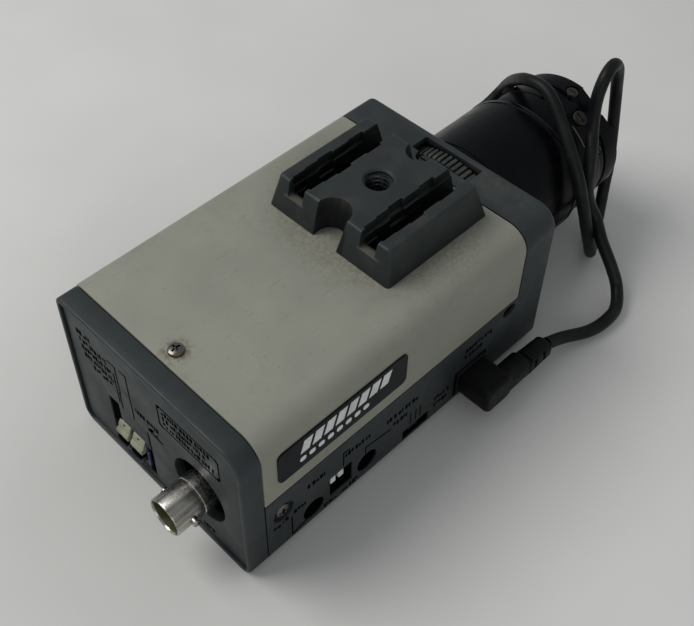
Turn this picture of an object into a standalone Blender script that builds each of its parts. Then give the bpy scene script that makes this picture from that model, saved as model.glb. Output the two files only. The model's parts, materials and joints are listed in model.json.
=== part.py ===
"""Box-style video camera with a C-mount auto-iris lens, its control lead and plug.

Every number is in millimetres until point() turns it into metres.
The rear plane of the body is y = 0 and the lens looks along +Y; point() shifts
the whole object so that its origin is the bottom centre.
"""
import math

import bmesh
import bpy
from mathutils import Matrix, Vector

# ---------------------------------------------------------------- driving dimensions
MM = 0.001
BODY_HALF_WIDTH = 31.0
BODY_LEFT = -31.6             # the left wall stands a little further out
BODY_TOP = 45.7
BODY_FRONT = 101.7
BODY_MIDDLE = 70.0            # half way between the video socket's tip and the lens front
TOP_RADIUS = 6.0
LEFT_RADIUS = 2.2             # upper left edge, much tighter than the right one
BOTTOM_RADIUS = 3.5
CORNER_STEPS = 5
GAP = 0.3                     # clearance between touching pieces

PANEL_DEPTH = 5.5             # rear panel, along y
PANEL_RIM = 1.2
PANEL_FACE = 0.7              # the face lies this far inside the rim
PANEL_BACK = 3.2
WALL = 2.0
CHASSIS_TOP = 23.5            # the steel cover starts here
CHASSIS_REAR = PANEL_DEPTH + GAP
COVER_FRONT = 90.0
COVER_SHEET = 1.0
BEZEL_REAR = COVER_FRONT + GAP
FRONT_WALL_REAR = 99.5

AXIS_Z = 23.5                 # optical axis height
SOCKET_X = 14.5               # video socket
SOCKET_Z = 17.3
SOCKET_TIP = -9.2

BLOCK_HEIGHT = 9.6            # mounting block on the cover
BLOCK_REAR = 54.0
BLOCK_FRONT = 88.2
BLOCK_HALF_WIDTH = 19.6
BLOCK_TOP_REAR = 56.0
BLOCK_TOP_FRONT = 85.5
BLOCK_TOP_HALF_WIDTH = 17.8
HOLE_Y = 71.0                 # quarter-inch threaded hole
HOLE_RADIUS = 3.0

FOCUS_RING_RADIUS = 21.0      # knurled back-focus ring inside the bezel
FOCUS_RING_TEETH = 60
MOUNT_BORE = 12.9
LENS_REAR = 102.3
BARREL_RADIUS = 20.1
BARREL_FRONT = 128.8
DRUM_RADIUS = 19.2
DRUM_REAR = 129.1
DRUM_FRONT = 140.0
NECK_FRONT = 143.2
NECK_RADIUS = 18.1
RING_RADIUS = 18.4
RING_REAR = 143.5
LENS_FRONT = 149.2
LEVEL_TRIMMER = (31, 140.7, 1.9)      # angle from +Z towards +X, y, radius
PEAK_TRIMMER = (64, 141.6, 1.1)
RING_LOCK = (8, 145.4, 1.7)
GRIP_ANGLES = (33, 153, 273)
CABLE_FLAT_ANGLE = -56            # flat on the side where the lead passes
ROUND_STEPS = 40

CONTROL_WALL = BODY_HALF_WIDTH - WALL
TRIMMER_RADIUS = 2.4
SHUTTER_TRIMMER = (19.7, 7.2)     # (y, z) of the side holes
PHASE_TRIMMER = (37.0, 8.2)
TRIMMER_HOLE = 3.2
DIP_WINDOW = (24.8, 32.0, 6.0, 13.5)
DIP_PITCH = 2.54
SLIDE_SLOT = (49.4, 58.7, 3.2, 6.9)
LEAD_SOCKET = (67.8, 79.7, 3.4, 12.9)
TERMINAL_WINDOW = (-18.2, -3.0, 1.9, 20.8)
LEVER_CENTRES = (-13.8, -8.4)
LEVER_WIDTH = 4.2
LEVER_PIVOT_Y = 7.4

CORD_DIAMETER = 3.4
CORD_POINTS = 78
CORD_ROUTE = [
    (38.2, 96.2, 6.6), (39.0, 101.5, 5.0), (42.0, 111.0, 2.7), (42.8, 116.5, 2.6),
    (42.2, 122.0, 2.8), (38.6, 127.0, 4.8), (35.6, 128.0, 8.6), (29.6, 129.4, 14.8),
    (25.4, 132.0, 17.6), (22.7, 131.8, 21.4), (21.3, 130.8, 26.8), (20.3, 131.0, 33.2),
    (18.4, 133.4, 37.6), (15.9, 136.2, 41.3), (14.6, 137.4, 46.4), (14.3, 138.0, 51.4),
    (13.9, 140.4, 55.4), (13.2, 144.4, 56.4), (12.5, 148.2, 53.4), (11.5, 152.6, 42.6),
    (14.1, 152.5, 23.3), (14.9, 152.2, 17.1), (15.5, 151.3, 13.0), (21.7, 140.6, 3.4),
    (23.5, 137.0, 2.6), (25.3, 133.4, 4.0), (26.2, 131.0, 7.4), (25.9, 127.4, 16.6),
    (23.9, 125.0, 27.7), (19.7, 125.4, 36.4), (4.7, 131.0, 49.1), (0.7, 131.8, 49.9),
    (-4.2, 132.7, 48.6), (-8.6, 135.4, 44.9), (-13.1, 139.2, 39.8), (-16.7, 142.1, 34.9),
    (-19.3, 143.5, 30.5), (-21.2, 140.4, 26.3), (-22.5, 136.0, 23.8), (-22.6, 134.5, 20.7),
]

# ---------------------------------------------------------------- scene and helpers


def clear_scene():
    for old in list(bpy.data.objects):
        bpy.data.objects.remove(old, do_unlink=True)


def new_collection(name):
    group = bpy.data.collections.new(name)
    bpy.context.scene.collection.children.link(group)
    return group


def plain_material(name, colour, roughness, metallic=0.0):
    made = bpy.data.materials.new(name)
    made.use_nodes = True
    shader = made.node_tree.nodes["Principled BSDF"]
    shader.inputs["Base Color"].default_value = (*colour, 1.0)
    shader.inputs["Roughness"].default_value = roughness
    shader.inputs["Metallic"].default_value = metallic
    made.diffuse_color = (*colour, 1.0)
    return made


def point(x, y, z):
    return Vector((x, y - BODY_MIDDLE, z)) * MM


def add_object(name, mesh, look, group):
    made = bpy.data.objects.new(name, mesh)
    group.objects.link(made)
    if look is not None:
        mesh.materials.append(look)
    if group is CUTTERS:
        made.hide_render = True
        made.display_type = "WIRE"
    return made


def box(name, low, high, look=None, origin=None, group=None):
    """Box between two corners; its own origin is the centre unless one is given."""
    centre = [(a + b) / 2 for a, b in zip(low, high)]
    origin = centre if origin is None else origin
    work = bmesh.new()
    bmesh.ops.create_cube(work, size=1.0)
    size = [(b - a) * MM for a, b in zip(low, high)]
    bmesh.ops.scale(work, vec=size, verts=work.verts)
    shift = Vector([(a - b) * MM for a, b in zip(centre, origin)])
    bmesh.ops.translate(work, vec=shift, verts=work.verts)
    mesh = bpy.data.meshes.new(name)
    work.to_mesh(mesh)
    work.free()
    made = add_object(name, mesh, look, group or PARTS)
    made.location = point(*origin)
    return made


def rounded_bar(name, low, high, top_radius, bottom_radius, look=None, group=None, left_radius=None):
    """Box whose four edges along y are rounded; the upper left edge may have its own radius."""
    made = box(name, low, high, look, group=group)
    work = bmesh.new()
    work.from_mesh(made.data)
    left_radius = top_radius if left_radius is None else left_radius
    for side, sign, radius in ((1, 1, top_radius), (-1, 1, left_radius), (1, -1, bottom_radius),
                               (-1, -1, bottom_radius)):
        edges = [e for e in work.edges
                 if abs(e.verts[0].co.y - e.verts[1].co.y) > MM
                 and e.verts[0].co.x * side > 0.49 * (high[0] - low[0]) * MM
                 and e.verts[0].co.z * sign > 0.49 * (high[2] - low[2]) * MM]
        if radius > 0:
            bmesh.ops.bevel(work, geom=edges, offset=radius * MM, segments=CORNER_STEPS,
                            profile=0.5, affect="EDGES")
    work.to_mesh(made.data)
    work.free()
    return made


AXIS_TURN = {"x": (0, math.pi / 2, 0), "y": (-math.pi / 2, 0, 0), "z": (0, 0, 0)}


def rod(name, axis, radius, start, end, across, look=None, steps=20, group=None, tip=None):
    """Cylinder or cone along an axis; across holds its two other coordinates in x, y, z order."""
    work = bmesh.new()
    bmesh.ops.create_cone(work, cap_ends=True, segments=steps, radius1=radius * MM,
                          radius2=(radius if tip is None else tip) * MM,
                          depth=(end - start) * MM)
    mesh = bpy.data.meshes.new(name)
    work.to_mesh(mesh)
    work.free()
    mesh.shade_smooth()
    mesh.set_sharp_from_angle(angle=math.radians(35))
    middle = (start + end) / 2
    where = {"x": (middle, *across), "y": (across[0], middle, across[1]), "z": (*across, middle)}
    made = add_object(name, mesh, look, group or PARTS)
    made.rotation_euler = AXIS_TURN[axis]
    made.location = point(*where[axis])
    return made


def turned(name, profile, look, across=(0.0, AXIS_Z), steps=ROUND_STEPS, closed=True):
    """Solid turned about a line along y; profile holds (radius, y), outer side front to back."""
    first = profile[0][1]
    mesh = bpy.data.meshes.new(name)
    work = bmesh.new()
    verts = [work.verts.new((radius * MM, 0, (y - first) * MM)) for radius, y in profile]
    for a, b in zip(verts, verts[1:]):
        work.edges.new((a, b))
    if closed:
        work.edges.new((verts[-1], verts[0]))
    work.to_mesh(mesh)
    work.free()
    made = add_object(name, mesh, look, PARTS)
    made.rotation_euler = AXIS_TURN["y"]
    made.location = point(across[0], first, across[1])
    screw = made.modifiers.new("turn", "SCREW")
    screw.axis = "Z"
    screw.steps = steps
    screw.render_steps = steps
    screw.use_merge_vertices = True
    screw.merge_threshold = 0.00001
    screw.use_smooth_shade = False
    return made


def outline_plate(name, loops, start, end, look=None, group=None):
    """Flat plate from closed outlines in the x, z plane, standing between two y values."""
    curve = bpy.data.curves.new(name + "_outline", "CURVE")
    curve.dimensions = "2D"
    curve.fill_mode = "BOTH"
    curve.extrude = (end - start) / 2 * MM
    for loop in loops:
        spline = curve.splines.new("POLY")
        spline.points.add(len(loop) - 1)
        for target, (x, z) in zip(spline.points, loop):
            target.co = (x * MM, z * MM, 0, 1)
        spline.use_cyclic_u = True
    guide = bpy.data.objects.new(name + "_guide", curve)
    bpy.context.scene.collection.objects.link(guide)
    guide.rotation_euler = (math.pi / 2, 0, 0)
    guide.location = point(0, (start + end) / 2, AXIS_Z)
    bpy.context.view_layer.update()
    evaluated = guide.evaluated_get(bpy.context.evaluated_depsgraph_get())
    mesh = bpy.data.meshes.new_from_object(evaluated)
    work = bmesh.new()
    work.from_mesh(mesh)
    bmesh.ops.remove_doubles(work, verts=work.verts, dist=0.000005)
    work.to_mesh(mesh)
    work.free()
    mesh.name = name
    made = add_object(name, mesh, look, group or PARTS)
    made.matrix_world = guide.matrix_world
    bpy.data.objects.remove(guide)
    return made


def circle(radius, count=32, centre=(0.0, 0.0)):
    steps = [math.tau * i / count for i in range(count)]
    return [(centre[0] + radius * math.cos(a), centre[1] + radius * math.sin(a)) for a in steps]


def cut(target, *cutters):
    for cutter in cutters:
        hole = target.modifiers.new("cut_" + cutter.name[:30], "BOOLEAN")
        hole.operation = "DIFFERENCE"
        hole.solver = "EXACT"
        hole.object = cutter


def join(target, *adders):
    for adder in adders:
        union = target.modifiers.new("join_" + adder.name[:30], "BOOLEAN")
        union.operation = "UNION"
        union.solver = "EXACT"
        union.object = adder


def cut_box(name, low, high):
    return box("cutter_" + name, low, high, group=CUTTERS)


def cut_rod(name, axis, radius, start, end, across, steps=20):
    return rod("cutter_" + name, axis, radius, start, end, across, steps=steps, group=CUTTERS)


def turn_about_axis(made, degrees):
    """Swing a placed object about the optical axis, from +Z towards +X."""
    pivot = point(0, 0, AXIS_Z)
    swing = Matrix.Rotation(math.radians(degrees), 4, "Y")
    bpy.context.view_layer.update()
    made.matrix_world = Matrix.Translation(pivot) @ swing @ Matrix.Translation(-pivot) @ made.matrix_world


# ---------------------------------------------------------------- body shells


def front_housing():
    """Bezel and lower tray, one moulding."""
    shell = rounded_bar("front_housing", (BODY_LEFT, CHASSIS_REAR, 0),
                        (BODY_HALF_WIDTH, BODY_FRONT, BODY_TOP),
                        TOP_RADIUS, BOTTOM_RADIUS, LOOK["plastic"], left_radius=LEFT_RADIUS)
    above = cut_box("above_tray", (-40, 0, CHASSIS_TOP), (40, BEZEL_REAR, 60))
    room = rounded_bar("cutter_tray_room", (-CONTROL_WALL, -5, 1.8),
                       (CONTROL_WALL, FRONT_WALL_REAR, BODY_TOP - 1.8), 4.0, 2.0, group=CUTTERS)
    mouth = cut_rod("lens_mouth", "y", 16.8, 95, 110, (0, AXIS_Z), steps=ROUND_STEPS)
    window = cut_box("ring_window", (-9.6, 93.6, 40), (9.0, 99.3, 50))
    pocket = cut_rod("lock_pocket", "z", 2.6, 40, 50, (-4.6, 93.4), steps=16)
    chamfer = cut_box("front_chamfer", (-40, -4, -4), (40, 4, 4))
    chamfer.rotation_euler = (math.radians(19), 0, 0)
    chamfer.location = point(0, BODY_FRONT - 1.2, -3.0)
    cut(shell, above, room, mouth, window, pocket, chamfer, *side_openings())


def side_openings():
    """Control openings through the +X wall of the tray, and the two cover screw holes."""
    outer = BODY_HALF_WIDTH + 5
    inner = CONTROL_WALL - 1
    holes = [cut_rod("trimmer_%d" % i, "x", TRIMMER_HOLE, inner, outer, place, steps=16)
             for i, place in enumerate((SHUTTER_TRIMMER, PHASE_TRIMMER))]
    for name, (y0, y1, z0, z1) in (("dip", DIP_WINDOW), ("slot", SLIDE_SLOT), ("lead", LEAD_SOCKET)):
        holes.append(cut_box(name + "_window", (inner, y0, z0), (outer, y1, z1)))
    holes.append(cut_box("hook_slot", (inner, 85.2, 19.9), (outer, 88.9, 22.4)))
    holes.append(cut_rod("side_screws", "x", 1.3, -outer, outer, (10.8, 16.3), steps=12))
    for side, seat in ((-1, BODY_LEFT + 1.1), (1, BODY_HALF_WIDTH - 1.1)):
        ends = sorted((seat, side * outer))
        holes.append(cut_rod("side_screw_seat_%d" % side, "x", 3.0, *ends, (10.8, 16.3), steps=16))
    return holes


def top_cover():
    """Painted steel cover, an upside-down U of sheet."""
    sheet = rounded_bar("top_cover", (BODY_LEFT, CHASSIS_REAR, CHASSIS_TOP + GAP),
                        (BODY_HALF_WIDTH, COVER_FRONT, BODY_TOP), TOP_RADIUS, 0, LOOK["paint"],
                        left_radius=LEFT_RADIUS)
    inside = rounded_bar("cutter_cover_room", (BODY_LEFT + COVER_SHEET, 0, 10),
                         (BODY_HALF_WIDTH - COVER_SHEET, 100, BODY_TOP - COVER_SHEET),
                         TOP_RADIUS - COVER_SHEET, 0, group=CUTTERS,
                         left_radius=LEFT_RADIUS - COVER_SHEET)
    screw = cut_rod("cover_screw_hole", "z", 1.4, 40, 50, (0, 9.6), steps=12)
    bolts = [cut_rod("block_bolt_hole_%d" % side, "z", 1.8, 40, 50, (side * 6.8, HOLE_Y), steps=12)
             for side in (-1, 1)]
    spigot = cut_rod("insert_clearance", "z", 3.9, 40, 50, (0, HOLE_Y), steps=16)
    cut(sheet, inside, screw, spigot, *bolts)


def rear_panel():
    panel = rounded_bar("rear_panel", (BODY_LEFT, 0, 0),
                        (BODY_HALF_WIDTH, PANEL_DEPTH, BODY_TOP - 0.3),
                        TOP_RADIUS, BOTTOM_RADIUS, LOOK["plastic"], left_radius=LEFT_RADIUS)
    face = rounded_bar("cutter_panel_face", (BODY_LEFT + PANEL_RIM, -5, PANEL_RIM),
                       (BODY_HALF_WIDTH - PANEL_RIM, PANEL_FACE, BODY_TOP - 0.3 - PANEL_RIM),
                       TOP_RADIUS - PANEL_RIM, BOTTOM_RADIUS - PANEL_RIM, group=CUTTERS,
                       left_radius=LEFT_RADIUS - PANEL_RIM)
    back = rounded_bar("cutter_panel_back", (-CONTROL_WALL, PANEL_BACK, 1.8),
                       (CONTROL_WALL, PANEL_DEPTH + 5, BODY_TOP - 2.1), 4.0, 2.0, group=CUTTERS)
    socket = cut_rod("socket_hole", "y", 8.6, -5, 10, (SOCKET_X, SOCKET_Z), steps=28)
    x0, x1, z0, z1 = TERMINAL_WINDOW
    cut(panel, face, back, socket, cut_box("terminal_window", (x0, -5, z0), (x1, 10, z1)))


def label_plate():
    """Rounded badge on the cover's side, with no lettering."""
    box("label_plate", (BODY_HALF_WIDTH + GAP / 3, 9.6, 28.9),
        (BODY_HALF_WIDTH + 0.5, 48.5, 39.2), LOOK["label"])


# ---------------------------------------------------------------- mounting block


def mounting_block():
    """Tapered block with two long grooves, notches front and rear and a central hole."""
    base = BODY_TOP + GAP / 3
    top = BODY_TOP + BLOCK_HEIGHT
    block = box("mounting_block", (-BLOCK_HALF_WIDTH, BLOCK_REAR, base),
                (BLOCK_HALF_WIDTH, BLOCK_FRONT, top), LOOK["plastic"])
    middle = (BLOCK_REAR + BLOCK_FRONT) / 2
    for vertex in block.data.vertices:
        if vertex.co.z > 0:
            y = BLOCK_TOP_FRONT if vertex.co.y > 0 else BLOCK_TOP_REAR
            vertex.co.x = math.copysign(BLOCK_TOP_HALF_WIDTH, vertex.co.x) * MM
            vertex.co.y = (y - middle) * MM
    grooves = [cut_box("block_groove_%d" % side, (min(side * 9.3, side * 14), 50, BODY_TOP + 1.4),
                       (max(side * 9.3, side * 14), 95, 60)) for side in (-1, 1)]
    rear_notch = cut_rod("block_rear_notch", "z", 4.6, 44, 60, (0, BLOCK_TOP_REAR), steps=24)
    rear_slot = cut_box("block_rear_slot", (-4.6, 50, 44), (4.6, BLOCK_TOP_REAR, 60))
    front_notch = cut_rod("block_front_notch", "z", 3.8, 44, 60, (0.2, BLOCK_TOP_FRONT), steps=24)
    front_slot = cut_box("block_front_slot", (-3.6, BLOCK_TOP_FRONT, 44), (4.0, 95, 60))
    hole = cut_rod("block_insert_hole", "z", 3.6 + GAP, 44, 60, (0, HOLE_Y), steps=24)
    seats = [cut_rod("block_bolt_%d" % side, "z", 1.4, 44, 51.5, (side * 6.8, HOLE_Y), steps=12)
             for side in (-1, 1)]
    cut(block, *grooves, rear_notch, rear_slot, front_notch, front_slot, hole, *seats)


def tripod_insert():
    """Bush with the quarter-inch hole; the thread itself is finer than these facets."""
    top = BODY_TOP + BLOCK_HEIGHT - 0.5
    bush = rod("tripod_insert", "z", 3.6, BODY_TOP - 2.5, top, (0, HOLE_Y), LOOK["steel_dark"], 24)
    cut(bush, cut_rod("insert_bore", "z", HOLE_RADIUS, BODY_TOP - 1.0, top + 5, (0, HOLE_Y), steps=24))
    return bush


def block_screws():
    """Two screws that hold the block from inside the cover."""
    for side, name in ((-1, "block_screw_left"), (1, "block_screw_right")):
        across = (side * 6.8, HOLE_Y)
        shank = rod(name, "z", 1.1, BODY_TOP - 2.0, BODY_TOP + 5.0, across, LOOK["steel"], 12)
        head = rod("cutter_head_" + name, "z", 2.6, BODY_TOP - 3.4, BODY_TOP - 1.4, across,
                   steps=12, group=CUTTERS)
        join(shank, head)


def pan_screw(name, axis, head_base, outward, across, length=3.4):
    """Pan-head screw with a cross recess; head_base is where its head starts."""
    ends = sorted((head_base - outward * length, head_base + outward * 0.4))
    shank = rod(name, axis, 1.0, *ends, across, LOOK["steel"], 12)
    ends = sorted((head_base, head_base + outward * 0.9))
    head = rod("cutter_head_" + name, axis, 2.1, *ends, across, steps=16, group=CUTTERS)
    join(shank, head)
    top = head_base + outward * 0.9
    spans = sorted((top - outward * 0.5, top + outward * 1.0))
    for wide, tall in ((1.2, 0.25), (0.25, 1.2)):
        a, b = across
        if axis == "z":
            slot = cut_box("slot_%s_%d" % (name, wide > 1), (a - wide, b - tall, spans[0]),
                           (a + wide, b + tall, spans[1]))
        else:
            slot = cut_box("slot_%s_%d" % (name, wide > 1), (spans[0], a - wide, b - tall),
                           (spans[1], a + wide, b + tall))
        cut(shank, slot)


# ---------------------------------------------------------------- rear connectors


def video_socket():
    """Bayonet coaxial socket: shell with two lugs, insulator, centre contact and nut."""
    place = (SOCKET_X, SOCKET_Z)
    shell = turned("bnc_shell", [
        (0, 15.0), (4.8, 15.0), (4.8, 6.4), (6.4, 6.4), (6.4, 4.6), (4.8, 4.6),
        (4.8, SOCKET_TIP + 0.3), (4.6, SOCKET_TIP), (4.1, SOCKET_TIP), (4.1, 2.0), (0, 2.0),
    ], LOOK["nickel"], place, steps=28, closed=False)
    left_lug = rod("cutter_bnc_lug_left", "x", 0.95, SOCKET_X - 5.5, SOCKET_X - 4.3,
                   (-4.9, SOCKET_Z), steps=12, group=CUTTERS)
    right_lug = rod("cutter_bnc_lug_right", "x", 0.95, SOCKET_X + 4.3, SOCKET_X + 5.5,
                    (-4.9, SOCKET_Z), steps=12, group=CUTTERS)
    join(shell, left_lug, right_lug)
    turned("bnc_insulator", [(3.7, 1.6), (3.7, -2.5), (2.6, -2.5), (2.6, -5.0), (1.1, -5.0), (1.1, 1.6)],
           LOOK["ivory"], place, steps=20)
    turned("bnc_contact", [(0.75, 1.5), (0.75, -5.2), (0.45, -5.2), (0.45, -2.0), (0, -2.0), (0, 1.5)],
           LOOK["brass"], place, steps=12)
    nut = rod("bnc_nut", "y", 7.4, 11.8, 13.8, place, LOOK["nickel"], 6)
    cut(nut, cut_rod("nut_bore", "y", 4.8 + GAP, 5, 20, place, steps=24))


def terminals():
    """Two-way push-lever terminal block for the supply, with its sprung levers."""
    body = box("terminal_block", (-17.4, 1.7, 2.3), (-4.2, 9.6, 20.4), LOOK["plastic"])
    half = LEVER_WIDTH / 2
    cutters = []
    for number, x in enumerate(LEVER_CENTRES, 1):
        cutters.append(cut_box("lever_slot_%d" % number, (x - half - 0.35, 0, 5.8),
                               (x + half + 0.35, 9.0, 12.4)))
        cutters.append(cut_rod("wire_hole_%d" % number, "y", 1.5, 0, 8, (x - 0.4, 3.9), steps=12))
    cut(body, *cutters)
    for number, x in enumerate(LEVER_CENTRES, 1):
        box("terminal_lever_%d" % number, (x - half, -0.6, 7.9), (x + half, LEVER_PIVOT_Y + 1.0, 11.2),
            LOOK["lever"], origin=(x, LEVER_PIVOT_Y, 9.4))


# ---------------------------------------------------------------- boards inside


def boards():
    box("main_board", (-27, 18, 15.2), (27, 78, 16.8), LOOK["board"])
    power = box("power_board", (-26, 10, 3.2), (26, 11.5, 42), LOOK["board"])
    cut(power, cut_rod("board_socket_hole", "y", 4.8 + GAP, 5, 20, (SOCKET_X, SOCKET_Z), steps=24))
    core = box("transformer_core", (-25, 22, 17.1), (-3, 27, 37), LOOK["steel_dark"])
    limb = box("cutter_core_limb", (-17, 20, 20), (-11, 46, 34), group=CUTTERS)
    join(core, limb)
    coil = box("transformer_coil", (-21, 27 + GAP, 18), (-7, 45, 36), LOOK["copper"])
    cut(coil, cut_box("coil_room", (-17 - GAP, 20, 20 - GAP), (-11 + GAP, 50, 34 + GAP)))
    for number, y in enumerate((26, 39), 1):
        rod("capacitor_%d" % number, "z", 5.0, 17.1, 35.0, (14, y), LOOK["capacitor"], 20)


# ---------------------------------------------------------------- side controls


def side_controls():
    trimmer("shutter_trimmer", *SHUTTER_TRIMMER)
    trimmer("phase_trimmer", *PHASE_TRIMMER)
    y0, y1, z0, z1 = DIP_WINDOW
    body = box("dip_switch_body", (21, y0 - 0.1, z0 + 0.2), (28.6, y1 - 0.2, z1 - 0.2), LOOK["black"])
    for number in (1, 2):
        y = y0 + 1.3 + DIP_PITCH * (number - 1)
        cut(body, cut_box("dip_track_%d" % number, (26.6, y - 1.1, z0 + 1.0), (30, y + 1.1, z1 - 0.4)))
        box("dip_slider_%d" % number, (26.9, y - 0.8, z1 - 2.9), (30.8, y + 0.8, z1 - 0.7),
            LOOK["white"])
    y0, y1, z0, z1 = SLIDE_SLOT
    middle = (y0 + y1) / 2
    frame = box("slide_switch_body", (20, y0 - 1.0, z0 - 0.6), (28.6, y1 + 1.0, z1 + 0.8), LOOK["steel"])
    cut(frame, cut_box("knob_track", (25.0, y0, z0 + 0.3), (30, y1, z1 - 0.3)))
    box("slide_switch_knob", (25.4, middle - 1.6, z0 + 0.65), (30.2, middle + 1.6, z1 - 0.65),
        LOOK["black"])
    y0, y1, z0, z1 = LEAD_SOCKET
    box("lead_socket", (16, y0 + 0.4, z0 + 0.4), (26.6, y1 - 0.4, z1 - 0.4), LOOK["black"])


def trimmer(name, y, z):
    """Small potentiometer: a body on the board and a slotted rotor behind the wall."""
    box(name + "_body", (20, y - 3.4, z - 3.3), (25.2, y + 3.4, z + 3.3), LOOK["blue"])
    rotor = rod(name + "_rotor", "x", TRIMMER_RADIUS, 25.5, 28.2, (y, z), LOOK["white"], 16)
    cut(rotor, cut_box("slot_" + name, (27.4, y - 1.8, z - 0.35), (29, y + 1.8, z + 0.35)))


# ---------------------------------------------------------------- lens mount and sensor


def lens_mount():
    turned("mount_flange", [
        (16.4, 102.0), (16.4, 99.9), (15.9, 99.9), (15.9, 93.0), (MOUNT_BORE, 93.0), (MOUNT_BORE, 102.0),
    ], LOOK["aluminium"])
    teeth = []
    for i in range(FOCUS_RING_TEETH):
        start = math.tau * i / FOCUS_RING_TEETH
        for part, radius in ((0.0, FOCUS_RING_RADIUS), (0.5, FOCUS_RING_RADIUS),
                             (0.56, FOCUS_RING_RADIUS - 0.8), (0.94, FOCUS_RING_RADIUS - 0.8)):
            angle = start + part * math.tau / FOCUS_RING_TEETH
            teeth.append((radius * math.cos(angle), radius * math.sin(angle)))
    outline_plate("back_focus_ring", [teeth, circle(16.3, 40)], 95.4, 99.1, LOOK["plastic"])
    screw = rod("focus_lock_screw", "z", 1.9, 42.6, 44.6, (-4.6, 93.0), LOOK["steel"], 16)
    cut(screw, cut_box("lock_slot", (-6.4, 92.7, 44.0), (-2.8, 93.3, 46)))


def sensor_stack():
    """Sliding carrier with the image sensor, driven by the back-focus ring."""
    carrier = box("sensor_carrier", (-17, 83.4, 8.5), (17, 85.4, 38.5), LOOK["aluminium"])
    cut(carrier, cut_box("carrier_window", (-9, 80, 16.5), (9, 90, 30.5)))
    box("sensor_board", (-15, 81.5, 10.5), (15, 83.1, 36.5), LOOK["board"])
    box("image_sensor", (-7, 83.5, 18.0), (7, 86.2, 29.0), LOOK["ceramic"])
    box("sensor_glass", (-6.2, 86.5, 18.8), (6.2, 87.4, 28.2), LOOK["glass"])


# ---------------------------------------------------------------- lens


def radial_screw(name, host, angle, y, radius, foot, top, look):
    """Slotted disc in a well of its host, pointing away from the optical axis."""
    well = cut_rod("well_" + name, "z", radius + 0.25, AXIS_Z + foot - 0.3, AXIS_Z + 30, (0, y), steps=16)
    rotor = rod(name, "z", radius, AXIS_Z + foot, AXIS_Z + top, (0, y), look, 16)
    slot = cut_box("slot_" + name, (-0.7 * radius, y - 0.25, AXIS_Z + top - 0.5),
                   (0.7 * radius, y + 0.25, AXIS_Z + top + 1))
    for piece in (well, rotor, slot):
        turn_about_axis(piece, angle)
    cut(host, well)
    cut(rotor, slot)


def lens():
    turned("lens_barrel", [
        (19.6, BARREL_FRONT), (BARREL_RADIUS, BARREL_FRONT - 0.7), (BARREL_RADIUS, LENS_REAR + 0.8),
        (BARREL_RADIUS - 0.7, LENS_REAR), (12.5, LENS_REAR), (12.5, 95.5), (10.6, 95.5),
        (10.6, 105.0), (17.6, 105.0), (17.6, BARREL_FRONT),
    ], LOOK["lens_black"])
    drum = turned("iris_housing", [
        (NECK_RADIUS, NECK_FRONT), (NECK_RADIUS, DRUM_FRONT + 0.1), (DRUM_RADIUS - 0.3, DRUM_FRONT),
        (DRUM_RADIUS, DRUM_FRONT - 0.4), (DRUM_RADIUS, DRUM_REAR + 0.4), (DRUM_RADIUS - 0.4, DRUM_REAR),
        (15.4, DRUM_REAR), (15.4, 138.0), (14.9, 138.0), (14.9, NECK_FRONT),
    ], LOOK["lens_black"])
    outlet = box("cutter_cable_outlet", (-26.0, 131.7, 3.5), (-10.0, 137.3, 8.0), group=CUTTERS)
    join(drum, outlet)
    flats = [cut_box("cable_flat", (-7.2, DRUM_REAR - 1, AXIS_Z + 18.0), (7.2, DRUM_FRONT, AXIS_Z + 30))]
    turn_about_axis(flats[0], CABLE_FLAT_ANGLE)
    for angle in (10, 31, 43):
        flat = cut_box("trimmer_flat_%d" % angle, (-4.6, 135.8, AXIS_Z + 17.3), (4.6, 150, AXIS_Z + 30))
        turn_about_axis(flat, angle)
        flats.append(flat)
    cut(drum, *flats)
    for name, angle, y, radius in (("lens_level_trimmer", *LEVEL_TRIMMER),
                                   ("lens_peak_trimmer", *PEAK_TRIMMER)):
        radial_screw(name, drum, angle, y, radius, 16.7, 18.1, LOOK["brass"])
    ring = turned("focus_ring", [
        (RING_RADIUS - 0.5, LENS_FRONT), (RING_RADIUS, LENS_FRONT - 0.5), (RING_RADIUS, RING_REAR + 0.3),
        (RING_RADIUS - 0.3, RING_REAR), (15.0, RING_REAR), (15.0, LENS_FRONT),
    ], LOOK["lens_black"])
    for angle in GRIP_ANGLES:
        grip = cut_box("ring_grip_%d" % angle, (-6.6, 140, AXIS_Z + 16.4), (6.6, 155, AXIS_Z + 30))
        turn_about_axis(grip, angle)
        cut(ring, grip)
    radial_screw("ring_lock_screw", ring, *RING_LOCK, 16.9, 18.2, LOOK["brass"])
    turned("front_lens_cell", [
        (14.6, 148.6), (14.6, 140.6), (12.2, 140.6), (12.2, 142.6), (13.0, 142.6), (13.0, 148.6),
    ], LOOK["lens_black"])
    turned("front_lens", [(0, 147.6), (6.4, 147.1), (12.6, 145.4), (12.6, 143.4), (6.4, 143.0), (0, 142.9)],
           LOOK["glass"], closed=False)
    turned("rear_lens", [(0, 103.6), (5, 103.2), (10.2, 101.8), (10.2, 99.6), (5, 98.6), (0, 98.3)],
           LOOK["glass"], closed=False)


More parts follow.
